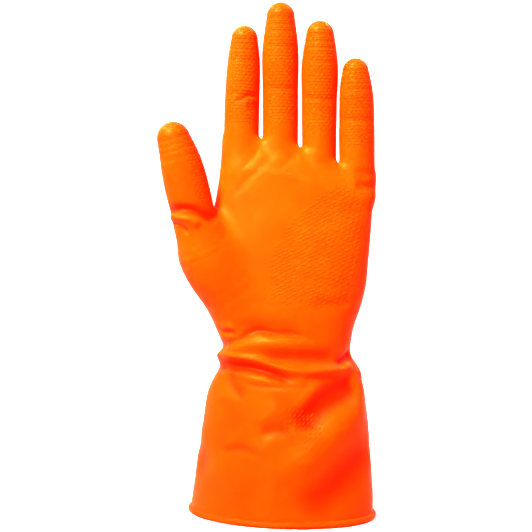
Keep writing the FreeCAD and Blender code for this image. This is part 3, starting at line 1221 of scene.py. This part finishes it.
@dataclass(frozen=True)
class DashPattern:
    """A field of raised dashes, in mm: its rows, the dashes in a row, and each dash."""

    row_pitch: float
    dash_pitch: float
    length: float
    width: float
    height: float

    def sizes(self, material: Material) -> dict[str, object]:
        """The dash tree's inputs, in metres."""
        return {
            "Length": self.length * MM,
            "Width": self.width * MM,
            "Height": 2 * self.height * MM,
            "Material": material,
        }


@dataclass
class GripRelief:
    """The raised dashes on the digits' pads, on the palm and on the cuff."""

    relief: Relief
    material: Material
    digit_pattern: DashPattern = DashPattern(1.9, 3.0, 2.3, 0.9, 0.10)
    palm_pattern: DashPattern = DashPattern(2.2, 4.4, 3.7, 1.0, 0.14)
    cuff_pattern: DashPattern = DashPattern(2.0, 4.0, 3.4, 0.9, 0.09)
    pad_half_angle: float = 45.0
    thumb_pad: tuple[float, float] = (22.0, 34.0)
    dome_angle: float = 50.0
    palm_slant: float = 28.0
    palm_outline: tuple[tuple[float, float], ...] = (
        (-5.0, 124.0), (20.0, 120.0), (41.0, 122.0), (46.0, 150.0), (48.0, 184.0), (40.0, 195.0),
        (24.0, 188.0), (6.0, 172.0), (-6.0, 152.0),
    )
    cuff_slant: float = 48.0
    cuff_outline: tuple[tuple[float, float], ...] = (
        (-1.0, 59.0), (12.0, 60.0), (27.0, 53.0), (24.0, 41.0), (17.0, 33.0), (4.0, 38.0),
    )
    tree: NodeTree = field(init=False)

    def __post_init__(self) -> None:
        """Makes the tree that all fields share."""
        self.tree = dash_tree()

    def field_of(self, name: str, start: Array, lay: Array, pattern: DashPattern) -> Object:
        """Raises dashes at points of the smooth form.

        Args:
            name: The piece's name.
            start: Points on the smooth form, in mm.
            lay: The direction that each dash lies in.
            pattern: The dashes' sizes.

        Returns:
            The piece.
        """
        place, out = self.relief.place(start)
        mesh = bpy.data.meshes.new(name)
        mesh.vertices.add(len(place))
        mesh.vertices.foreach_set("co", (place * MM).astype(np.float32).ravel())
        for key, vectors in (("out", out), ("lay", lay)):
            attribute = mesh.attributes.new(key, "FLOAT_VECTOR", "POINT")
            attribute.data.foreach_set("vector", vectors.astype(np.float32).ravel())
        piece = grown(name, mesh, self.tree, pattern.sizes(self.material))
        for key in ("out", "lay"):
            if key in piece.data.attributes:
                piece.data.attributes.remove(piece.data.attributes[key])
        keep_rest(piece)
        return piece

    def on_digit(self, digit: Digit, low: float, high: float, name: str) -> Object | None:
        """Rows of dashes across a digit's pad, between two stations.

        Args:
            digit: The digit.
            low: The station to start at.
            high: The station to end before.
            name: The piece's name.

        Returns:
            The piece, or None where the stretch has no room for a dash.
        """
        tube, pattern = digit.tube, self.digit_pattern
        middle, half_angle = self.thumb_pad if digit.name == "thumb" else (0.0, self.pad_half_angle)
        end = tube.arc_at[-1]
        tip_radius = float(tube.radii[-1])
        last = end + math.radians(self.dome_angle) * tip_radius
        row = math.ceil((low - 2.0) / pattern.row_pitch)
        starts, lays = [], []
        while row * pattern.row_pitch < min(high, last):
            station = row * pattern.row_pitch
            on_spine = min(station, end)
            rise = max(station - end, 0.0) / tip_radius
            along, out, across = digit.pad_at(min(on_spine, end - 1.5))
            radius = float(np.interp(on_spine, tube.arc_at, tube.radii))
            step = math.degrees(pattern.dash_pitch / (radius * max(math.cos(rise), 0.3)))
            reach = half_angle * math.cos(rise)
            half = int(reach / step)
            for column in range(-half - 1, half + 2):
                angle = (column + 0.5 * (row % 2)) * step
                if station < low or abs(angle) > reach:
                    continue
                swing = math.radians(angle + middle)
                ring = math.cos(swing) * out + math.sin(swing) * across
                way = math.cos(rise) * ring + math.sin(rise) * along
                starts.append(tube.point(on_spine) + way * (radius + 3.0))
                lays.append(-math.sin(swing) * out + math.cos(swing) * across)
            row += 1
        if not starts:
            return None
        points = self.relief.form.settle(np.array(starts), 6)
        return self.field_of(name, points, np.array(lays), pattern)

    def on_sleeve(
        self, name: str, outline: Sequence[tuple[float, float]], slant: float, pattern: DashPattern
    ) -> Object:
        """Slanting rows of dashes inside an outline on the palm side of the sleeve.

        Args:
            name: The piece's name.
            outline: Corners as x and height, in mm.
            slant: The rows' slope in degrees.
            pattern: The dashes' sizes.

        Returns:
            The piece.
        """
        corners = np.array(outline)
        centre = corners.mean(axis=0)
        reach = float(np.abs(corners - centre).max()) * 1.5
        lean = math.radians(slant)
        row_way = np.array([math.cos(lean), math.sin(lean)])
        step_way = np.array([-math.sin(lean), math.cos(lean)])
        rows, dashes = int(reach / pattern.row_pitch), int(reach / pattern.dash_pitch)
        places = []
        for row in range(-rows, rows + 1):
            for column in range(-dashes, dashes + 1):
                along = (column + 0.5 * (row % 2)) * pattern.dash_pitch
                wave = 0.35 * math.sin(along / 3.1 + row)
                spot = centre + along * row_way + (row * pattern.row_pitch + wave) * step_way
                if inside(spot, corners):
                    places.append(spot)
        points, _ = self.relief.form.seen(np.array(places))
        lay = np.tile([row_way[0], 0.0, row_way[1]], (len(points), 1))
        return self.field_of(name, points, lay, pattern)


def inside(spot: Array, corners: Array) -> bool:
    """True if a flat point lies inside an outline.

    Args:
        spot: The point.
        corners: The outline's corners, one row each.

    Returns:
        Whether it lies inside.
    """
    crossings = 0
    for a, b in zip(corners, np.roll(corners, -1, axis=0)):
        if (a[1] > spot[1]) != (b[1] > spot[1]):
            crossings += spot[0] < a[0] + (spot[1] - a[1]) / (b[1] - a[1]) * (b[0] - a[0])
    return crossings % 2 == 1


# ---- the glove ----


# Height, left side, right side, half depth, squareness and, below the wrist, yaw.
SLEEVE_LEVELS = tuple(Level(*row) for row in (
    (2, -55.4, 54.6, 34, 2, -12), (11, -54, 54.4, 33.7, 2, -12), (27, -51.8, 53.6, 32.8, 2, -11),
    (39, -50, 53.2, 32, 2, -10), (55, -47.4, 51.9, 31, 2, -8), (67, -45.2, 50.4, 30, 2, -6),
    (75, -42.8, 49.1, 29, 2, -4), (83, -39.2, 46.8, 27.6, 2, -1), (90, -36.4, 43.4, 26.2, 2),
    (97, -34.9, 41.2, 25.2, 2.05), (104, -35.6, 41.9, 24.6, 2.1), (112, -37.4, 43.7, 23.8, 2.15),
    (122, -39.8, 47.2, 22.9, 2.2), (135, -41.6, 50.4, 21.7, 2.25), (150, -42, 52, 20.3, 2.3),
    (165, -41.4, 53.2, 18.9, 2.35), (180, -40.2, 54.3, 17, 2.4), (190, -38.5, 54.7, 15.9, 2.45),
    (200, -36.9, 55.7, 14.9, 2.5), (212, -35.2, 56.2, 13.7, 2.5), (222, -34.2, 56.2, 12.9, 2.5),
    (236, -33.4, 56.2, 12, 2.5),
))
# Height of the palm's top edge: highest by the index finger, lowest by the little finger.
WEB_LINE = ((-38.0, 226.0), (-12.0, 222.6), (11.2, 217.6), (34.3, 207.8), (58.0, 203.0))

BALL_KNOTS = ((-16.0, -2.0, 104.0), (-29.2, -6.0, 130.0), (-37.8, -8.4, 143.0), (-44.0, -10.0, 154.0),
              (-46.6, -11.4, 162.0), (-48.6, -12.6, 169.0))
BALL_RADII = (10.0, 15.6, 17.0, 16.4, 14.2, 12.4)

DIGITS = (
    ("index", (10.4, 10.4, 10.3, 9.5, 7.8), (10.6, 10.0, 9.4), 4.0, 1.1, (4.6, 6.5, 6.0), (9.0, 6.5, 6.0),
     (0.0, -0.5, -0.7, -0.6, -0.6)),
    ("middle", (10.4, 10.5, 10.6, 10.5, 8.2), (10.7, 10.2, 9.7), 4.0, 0.5, (5.6, 8.0, 7.0),
     (9.5, 8.0, 7.0)),
    ("ring", (10.2, 10.2, 10.6, 10.6, 8.2), (10.6, 10.1, 9.6), 4.0, -0.5, (4.8, 7.5, 6.5), (9.0, 7.5, 6.5),
     (0.0, 0.2, 0.3, 0.3, 0.3)),
    ("pinky", (10.0, 10.6, 10.5, 9.7, 7.7), (10.1, 9.5, 8.9), 4.0, 1.1, (6.0, 6.0, 5.5), (8.0, 6.0, 5.5),
     (0.0, -0.2, -0.1, -0.4, -0.6)),
    ("thumb", (12.6, 13.0, 12.2, 9.7), (12.4, 11.1), 5.0, 1.7, (1.5, 9.0), (11.0, 9.0),
     (2.2, 2.4, 1.5, -0.3)),
)

def folds_on(side: Side, *rows: tuple) -> tuple[Fold, ...]:
    """Makes the folds of one side.

    Args:
        side: How their paths are read.
        rows: Each fold's path, height, width and, where it is not the usual one, fade.

    Returns:
        The folds, in the same order.
    """
    return tuple(Fold(path, height, width, side, *fade) for path, height, width, *fade in rows)


WRIST_FOLDS = folds_on(
    Side.FRONT,
    # the valley from the left notch over the front, above the puffed band
    (((-36, 97.8), (-32.8, 98.4), (-23.5, 101.3), (-18.5, 104.9), (-13, 106.6), (-3.2, 104.8), (2.3, 104.9),
      (8.8, 104.1), (15.3, 102.3), (21, 100.6)), -1.5, 1.6, 0.24),
    (((-27, 104.6), (-19, 108), (-8, 109), (4, 108), (16, 105.6)), -1.1, 3.4),
    # the puffed band, and the hollow below it
    (((-35, 96.2), (-22.5, 97.2), (-10.9, 98.4), (2.9, 98.8), (13.8, 97.4), (22, 95.4)), 1.9, 3),
    (((-16, 90.4), (-5.1, 90.6), (4.2, 90.4), (13.4, 90.6), (22.7, 91), (31, 90.4),
      (37, 88)), -2.2, 2.7, 0.25),
    # the long fold that turns over from the left bulge to the cuff's right shoulder
    (((-34, 91.6), (-23.5, 90.3), (-14.3, 88.5), (-5.1, 85.6), (4.2, 82.9), (13.4, 81.8), (22.7, 82),
      (31.9, 82.6), (37.5, 83.6), (43, 86.1)), 2.6, 1.9, 0.1),
    (((-42, 87.4), (-37.4, 87.4), (-28.2, 86), (-18.9, 85), (-9.7, 83), (-0.4, 79.6), (7.9, 76.6),
      (13.4, 75.2)), -3.4, 2.4, 0.2),
    (((13, 76.6), (19.6, 78), (28.3, 79), (36, 79.6)), -0.9, 1.6),
    (((-33, 82.8), (-23.5, 76.6), (-14.3, 73.8), (-0.4, 72.7), (11.6, 72.5), (20, 73.2),
      (27, 75.6)), -0.5, 1.2),
    (((-24, 80.6), (-14, 78), (-5, 76.4), (3, 74.6)), 0.5, 2),
    # the hand runs into the cuff on the right
    (((41.5, 93.6), (38.5, 90.4), (35.5, 87.4), (33.3, 83.6)), -2.6, 2),
    (((46.5, 90), (45.5, 84.6), (47, 78)), 1.4, 3),
    (((-35.6, 105.8), (-31, 105.8), (-26, 105)), -0.8, 1.1),
    (((-36, 108.4), (-30, 108.8), (-25, 107.8)), 0.7, 1.6),
    (((-36.5, 102.8), (-31.5, 103), (-27, 102.8)), 0.7, 1.2),
    # left outline: notch, bulge, notch
    (((-41, 98.6), (-35, 98.4), (-31, 98.6)), -1, 1.6),
    (((-48, 92.6), (-38, 92.6), (-26, 93)), 2.8, 2.3, 0.5),
    (((-48, 89.2), (-38, 89.2), (-28, 88.4)), 2.8, 2.3, 0.5),
    (((-44, 84.6), (-38, 84.6), (-33, 84.2)), -1.2, 1.8),
)

CUFF_FOLDS = folds_on(
    Side.FRONT,
    # soft facets below the gathered wrist
    (((-33, 84), (-29.6, 76), (-25, 69), (-20, 65)), -1.5, 2.4),
    (((-37.7, 67.2), (-34, 62.1), (-26, 58.5)), -0.6, 2),
    (((46, 76), (40.2, 72.6), (30, 67), (21, 59.5), (15, 52), (11, 44)), -4, 5.6, 0.2),
    (((50, 67), (45.8, 60.7), (36.5, 49.6), (25.4, 38.5), (13.4, 28.5), (0, 17)), 2.6, 5.8, 0.22),
    (((26, 77), (19, 70), (12.5, 62.5), (8, 56)), 1.6, 3),
    (((1, 63), (-7, 55.6), (-15, 48.6)), 0.9, 3),
    (((-14, 46.8), (-7, 47), (0, 47.6), (9, 48.6)), -1.8, 3.1),
    (((-38.3, 34.9), (-25.4, 36.2), (-18, 34), (-9.6, 27.4)), -0.9, 1.7),
    (((-41.2, 35), (-34, 20.6), (-24.4, 12), (-15.5, 6)), 1.1, 4.6),
    (((-17, 44), (-8.8, 33.6), (-3.2, 22.6), (1.4, 9)), 1.5, 4.2),
    (((53, 40), (46, 28), (36, 16), (22, 6), (6, -3)), -2.8, 6.8, 0.26),
    (((-52, 46), (-47, 30), (-50, 14)), -0.9, 4),
)

BACK_FOLDS = folds_on(
    Side.BACK,
    (((-36, 92), (-22, 94.5), (-6, 93), (10, 95.5), (26, 93.4), (38, 95)), 2.2, 2.4),
    (((-38, 87), (-24, 88.6), (-8, 87.6), (8, 89.6), (24, 88), (40, 89.4)), -2.6, 2.1),
    (((-30, 101), (-14, 99), (4, 100.4), (20, 99)), -1.6, 1.9),
    (((-20, 107), (-4, 105), (14, 106.4), (30, 104)), -0.9, 2),
    (((-26, 82), (-10, 80.4), (8, 82), (28, 80.6)), 1.5, 2.4),
    (((-10, 76), (6, 74.6), (22, 76)), -1, 1.9),
    (((-30, 74), (-18, 58), (-10, 40)), -2.2, 6),
    (((20, 72), (28, 52), (24, 30)), -1.8, 6),
    (((-2, 70), (4, 48), (0, 22)), 1.8, 7),
    (((-40, 40), (-30, 24), (-14, 14)), 1.2, 5),
)

HAND_FOLDS = folds_on(
    Side.PALM,
    # under the thumb's root
    (((-69, 177.6), (-65.6, 178.1), (-59.2, 179), (-51, 178.1), (-43.6, 174.6),
      (-37, 171.4)), -2.5, 2, 0.16),
    (((-67.5, 174.4), (-61, 174.6), (-54.6, 172.8), (-47.3, 168.4)), 1.6, 1.9, 0.2),
    (((-65.5, 171.2), (-62, 170.2), (-58.4, 167.6), (-54, 163.8)), -1.2, 1.3, 0.25),
    # creases that fan from the thumb's crotch to the fingers' roots
    (((-33, 183), (-29.9, 186.4), (-21.6, 195.5), (-14.3, 202.9), (-7, 210.2), (-0.5, 216.6)), -0.38, 1.9),
    (((-25.6, 201.6), (-19.8, 207.2), (-14.8, 212.9), (-12.6, 218)), -0.2, 1.4),
    (((-3, 201.8), (4, 208.4), (9.5, 214)), -0.35, 2, 0.35),
    (((33, 206), (27, 208.6), (21, 208)), -0.35, 2.2, 0.35),
    # the index finger's pad folds at its second joint
    (((-28.6, 244.2), (-24, 245), (-18.9, 247.2), (-12.5, 246.4)), -0.75, 1.1, 0.25),
    (((-21, 241.4), (-15, 240), (-11, 238)), -0.5, 2, 0.25),
    # little finger's side
    (((43, 201.4), (50, 200.8), (60, 200)), -0.7, 2, 0.25),
    (((43, 193.6), (50, 193), (60, 192.6)), -1.1, 2.2, 0.25),
    # the palm's cushions
    (((34, 176), (38, 156), (32, 132)), 1, 9, 0.2),
    (((16, 123.4), (30, 122.6), (44, 124.4)), -0.7, 2.2),
) + folds_on(
    Side.KNUCKLES,
    (((-22, 214), (-20, 196), (-14, 172)), 0.9, 3.6, 0.2),
    (((0, 214), (2, 194), (2, 168)), 1, 3.6, 0.2),
    (((23, 210), (20, 190), (14, 166)), 0.9, 3.6, 0.2),
    (((45, 200), (38, 182), (28, 162)), 0.8, 3.6, 0.2),
    (((-40, 176), (-30, 184), (-22, 194)), -1, 2.4),
    (((-48, 160), (-36, 150), (-24, 136)), -0.9, 2.4),
    (((-60, 178), (-54, 180), (-46, 178)), -0.9, 1.7),
)


def crease_folds(digits: Iterable[Digit]) -> tuple[Fold, ...]:
    """Shallow creases across each digit's pad and knuckle, at its joints above the root.

    Args:
        digits: The five digits.

    Returns:
        Two folds for each crease.
    """
    folds = []
    for digit in digits:
        if digit.name == "thumb":
            continue
        for bend, depth in zip(digit.bends[1:], (-0.34, -0.22)):
            centre = digit.tube.point(bend.centre)
            half = float(np.interp(bend.centre, digit.tube.arc_at, digit.tube.radii))
            path = (
                (centre[0] - half - 2.0, centre[2] + 0.8),
                (centre[0], centre[2] - 0.6),
                (centre[0] + half + 2.0, centre[2] - 1.4),
            )
            folds.append(Fold(path, depth, 1.3, Side.PALM, 0.3))
            folds.append(Fold(path, depth * 1.4, 1.6, Side.KNUCKLES, 0.2))
    return tuple(folds)


@dataclass
class Glove:
    """The glove: builds its form, divides the film, hangs each piece that has one body on it and leaves the
    others in place.
    """

    hem_height: float = 4.0
    bead_radius: float = 2.0
    cuff_top: float = 52.0
    band_top: float = 91.0
    heel_top: float = 126.0
    palm_top: float = 172.0
    digit_skin: float = 2.6
    bead_corners: int = 180
    latex: Material = field(init=False)
    cotton: Material = field(init=False)

    def __post_init__(self) -> None:
        """Builds the form and the net that all pieces are cut from."""
        self.latex = LatexFinish().build()
        self.cotton = FlockFinish().build()
        self.digits = tuple(Digit(*row) for row in DIGITS)
        knots = smooth_path(BALL_KNOTS, 3)
        stations = arc_lengths(np.array(BALL_KNOTS))
        ball = Tube(knots, stations, np.array(BALL_RADII), np.array([0.0, -1.0, 0.0]))
        form = GloveForm(Sleeve(SLEEVE_LEVELS, WEB_LINE), ball, self.digits)
        folds = WRIST_FOLDS + CUFF_FOLDS + BACK_FOLDS + HAND_FOLDS + crease_folds(self.digits)
        self.relief = Relief(form, folds)
        self.net = FilmNet(self.relief)
        self.cutter = FilmCutter(self.net)
        LOG.info("net: %d coarse faces, %d fine faces", len(self.net.coarse), len(self.net.fine))

    def film_and_flock(
        self, name: str, chosen: Array, nodes: str, bodies: tuple[str, ...], turn: tuple | None = None
    ) -> None:
        """Makes a stretch of film and its lining.

        Args:
            name: The stretch's name.
            chosen: True for each coarse face that belongs to it.
            nodes: The first part of the names of the CAD nodes that it stands for, or nothing.
            bodies: The body it rides on, or the two bodies that it lies between.
            turn: The two points in mm, on either side of its joint, handed on to hang.
        """
        pieces = (
            (self.cutter.film(f"{name}_film", chosen, self.latex), "orange_latex", f"{nodes}_shell"),
            (self.cutter.flock(f"{name}_flock", chosen, self.cotton), "cotton_flock", f"{nodes}_lining"),
        )
        for piece, slot, node in pieces:
            if nodes:
                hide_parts(node)
            self.hang(piece, bodies, turn)
            LOG.info("%s: %d faces", piece.name, len(piece.data.polygons))

    @staticmethod
    def hang(piece: Object, bodies: tuple[str, ...], turn: tuple | None) -> None:
        """Makes a piece ride on its body; a piece between two bodies only has its transform baked in.

        Args:
            piece: The piece.
            bodies: The body it rides on, or the two that it lies between.
            turn: Where it would start and end to bend, in mm; not used.
        """
        if len(bodies) == 1:
            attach(piece, bodies[0])
        else:
            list(bodies)
            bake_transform(piece)

    def make_sleeve(self, free: Array, height: Array) -> None:
        """The cuff, the wrist and the palm.

        Args:
            free: True for each coarse face that no digit has taken.
            height: The height of each face, in mm.
        """
        middle = np.array([3.0, 0.0, 0.0])
        up = np.array([0.0, 0.0, 1.0])
        cuts = (
            ("cuff", -FAR, self.cuff_top, "cuff", ("cuff",), None),
            ("wrist_low", self.cuff_top, self.band_top, "wrist", ("cuff", "wrist"),
             (middle + up * (self.cuff_top + 1.0), middle + up * (self.band_top - 1.0))),
            ("wrist_high", self.band_top, self.heel_top, "", ("wrist", "hand"),
             (middle + up * (self.band_top + 1.0), middle + up * (self.heel_top - 2.0))),
            ("palm_low", self.heel_top, self.palm_top, "hand", ("hand",), None),
            ("palm_high", self.palm_top, FAR, "", ("hand",), None),
        )
        for name, low, high, nodes, bodies, turn in cuts:
            self.film_and_flock(name, free & (height >= low) & (height < high), nodes, bodies, turn)

    def make_digits(self) -> Array:
        """The five digits; returns which coarse faces are left for the sleeve."""
        net = self.net
        centre = net.smooth[net.coarse].mean(axis=1)
        free = np.ones(len(centre), bool)
        found = [digit.tube.nearest(centre) for digit in self.digits]
        nearest = np.argmin([gap for gap, _ in found], axis=0)
        for number, (digit, (gap, station)) in enumerate(zip(self.digits, found)):
            mine = (nearest == number) & (gap < self.digit_skin)
            for bend, low, high, turn in digit.stretches():
                chosen = mine & (station >= low) & (station < high)
                free &= ~chosen
                self.film_and_flock(bend.body_b, chosen, bend.body_b, (bend.body_a, bend.body_b), turn)
        return free

    def make_grip(self) -> None:
        """The raised dashes; each field is attached or left in place just as the film under it is."""
        grip = GripRelief(self.relief, self.latex)
        for digit in self.digits:
            for bend, low, high, turn in digit.stretches():
                piece = grip.on_digit(digit, max(low, 3.0), high, f"{bend.body_b}_grip")
                if piece is None:
                    continue
                self.hang(piece, (bend.body_a, bend.body_b), turn)
        fields = (
            ("palm_grip", grip.palm_outline, grip.palm_slant, grip.palm_pattern, "hand"),
            ("cuff_grip", grip.cuff_outline, grip.cuff_slant, grip.cuff_pattern, "cuff"),
        )
        for name, outline, slant, pattern, body in fields:
            piece = grip.on_sleeve(name, outline, slant, pattern)
            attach(piece, body)
            LOG.info("%s: %d faces", name, len(piece.data.polygons))

    def make_bead(self) -> None:
        """The rolled edge of the film round the cuff's mouth."""
        sleeve = self.relief.form.sleeve
        angle = np.linspace(0.0, 2 * math.pi, self.bead_corners, endpoint=False)
        height = np.full(len(angle), self.hem_height)
        centre, width, depth, _, yaw = sleeve.at(height)
        x, y = width * np.sin(angle), -depth * np.cos(angle)
        turn, lean = np.cos(yaw), np.sin(yaw)
        ring = np.stack([centre + x * turn - y * lean, x * lean + y * turn, height], axis=1)
        ring, normal = self.relief.place(self.relief.form.settle(ring, 3))
        ring -= normal * self.cutter.film_wall / 2
        ring[:, 2] = self.bead_radius
        mesh = bpy.data.meshes.new("cuff_roll")
        edges = [(i, (i + 1) % len(ring)) for i in range(len(ring))]
        mesh.from_pydata((ring * MM).tolist(), edges, [])
        sizes = {"Radius": self.bead_radius * MM, "Material": self.latex}
        bead = grown("cuff_roll", mesh, bead_tree(), sizes)
        keep_rest(bead)
        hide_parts("cuff_bead")
        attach(bead, "cuff")

    def build(self) -> None:
        """Makes every piece of the glove."""
        free = self.make_digits()
        self.make_sleeve(free, self.net.smooth[self.net.coarse].mean(axis=1)[:, 2])
        self.make_bead()
        self.make_grip()


# ---- studio ----


@dataclass(frozen=True)
class SoftBox:
    """A square studio light: where it stands, its side, its power, how wide its grid lets it spread."""

    name: str
    place: tuple[float, float, float]
    side: float
    watts: float
    spread: float = 180.0


@dataclass
class Studio:
    """A pale sweep of paper, soft lights and the camera."""

    aim: tuple[float, float, float] = (-0.009, 0.0, 0.1475)
    camera_place: tuple[float, float, float] = (-0.009, -0.55, 0.1475)
    focal_mm: float = 62.25
    sweep_width: float = 4.0
    sweep_front: float = -2.2
    sweep_back: float = 1.4
    sweep_height: float = 2.4
    sweep_radius: float = 0.6
    lights: tuple[SoftBox, ...] = (
        SoftBox("key", (-0.51, -0.68, 1.0), 0.34, 3.9, 30.0),
        SoftBox("backdrop light left", (-1.0, 0.5, 1.6), 0.8, 22.0),
        SoftBox("backdrop light right", (1.0, 0.5, 1.6), 0.8, 22.0),
    )
    key_aim: tuple[float, float, float] = (-0.03, 0.0, 0.26)
    ambient: float = 0.75
    exposure: float = 0.0
    gamma: float = 0.7

    def build(self) -> None:
        """Makes the whole studio."""
        self.make_sweep()
        for light in self.lights:
            self.make_light(light)
        self.make_world()
        self.make_camera()

    def make_sweep(self) -> None:
        """Floor and backdrop in one curved sheet."""
        arc = np.linspace(0.0, math.pi / 2, 13)
        y = self.sweep_back - self.sweep_radius + self.sweep_radius * np.sin(arc)
        z = self.sweep_radius * (1.0 - np.cos(arc))
        profile = [(self.sweep_front, 0.0), *zip(y, z), (self.sweep_back, self.sweep_height)]
        sides = (-self.sweep_width, self.sweep_width)
        points = np.array([(x, *spot) for x in sides for spot in profile]) / MM
        count = len(profile)
        quads = np.array([(i, i + count, i + count + 1, i + 1) for i in range(count - 1)])
        sweep = make_object("paper_sweep", make_mesh("paper_sweep", points, [quads]), PaperFinish().build())

    def make_light(self, box: SoftBox) -> None:
        """One soft light, turned to the glove or, behind it, to the backdrop."""
        lamp = bpy.data.lights.new(box.name, "AREA")
        lamp.size = box.side
        lamp.energy = box.watts
        lamp.spread = math.radians(box.spread)
        item = make_object(box.name, lamp)
        target = Vector((0.0, 1.4, 0.5)) if box.place[1] > 0 else Vector(self.key_aim)
        self.point(item, Vector(box.place), target)

    @staticmethod
    def point(item: Object, place: Vector, target: Vector) -> None:
        """Places an object and turns its -Z to a target.

        Args:
            item: The light or camera.
            place: Where it stands, in metres.
            target: What it looks at.
        """
        item.location = place
        item.rotation_euler = (target - place).to_track_quat("-Z", "Y").to_euler()

    def make_world(self) -> None:
        """An even white surround."""
        world = bpy.data.worlds.new("surround")
        world.use_nodes = True
        background = world.node_tree.nodes["Background"]
        background.inputs["Color"].default_value = (1.0, 1.0, 1.0, 1.0)
        background.inputs["Strength"].default_value = self.ambient
        bpy.context.scene.world = world

    def make_camera(self) -> None:
        """The camera, level with the middle of the glove."""
        camera = bpy.data.cameras.new("camera")
        camera.lens = self.focal_mm
        camera.clip_start = 0.01
        item = make_object("camera", camera)
        self.point(item, Vector(self.camera_place), Vector(self.aim))
        bpy.context.scene.camera = item


def main() -> None:
    """Builds the glove and the studio around it."""
    logging.basicConfig(level=logging.INFO, format="%(message)s")
    studio = Studio()
    studio.build()
    look = bpy.context.scene.view_settings
    look.view_transform = "Standard"
    look.exposure = studio.exposure
    look.gamma = studio.gamma
    Glove().build()


if __name__ == "__main__":
    main()
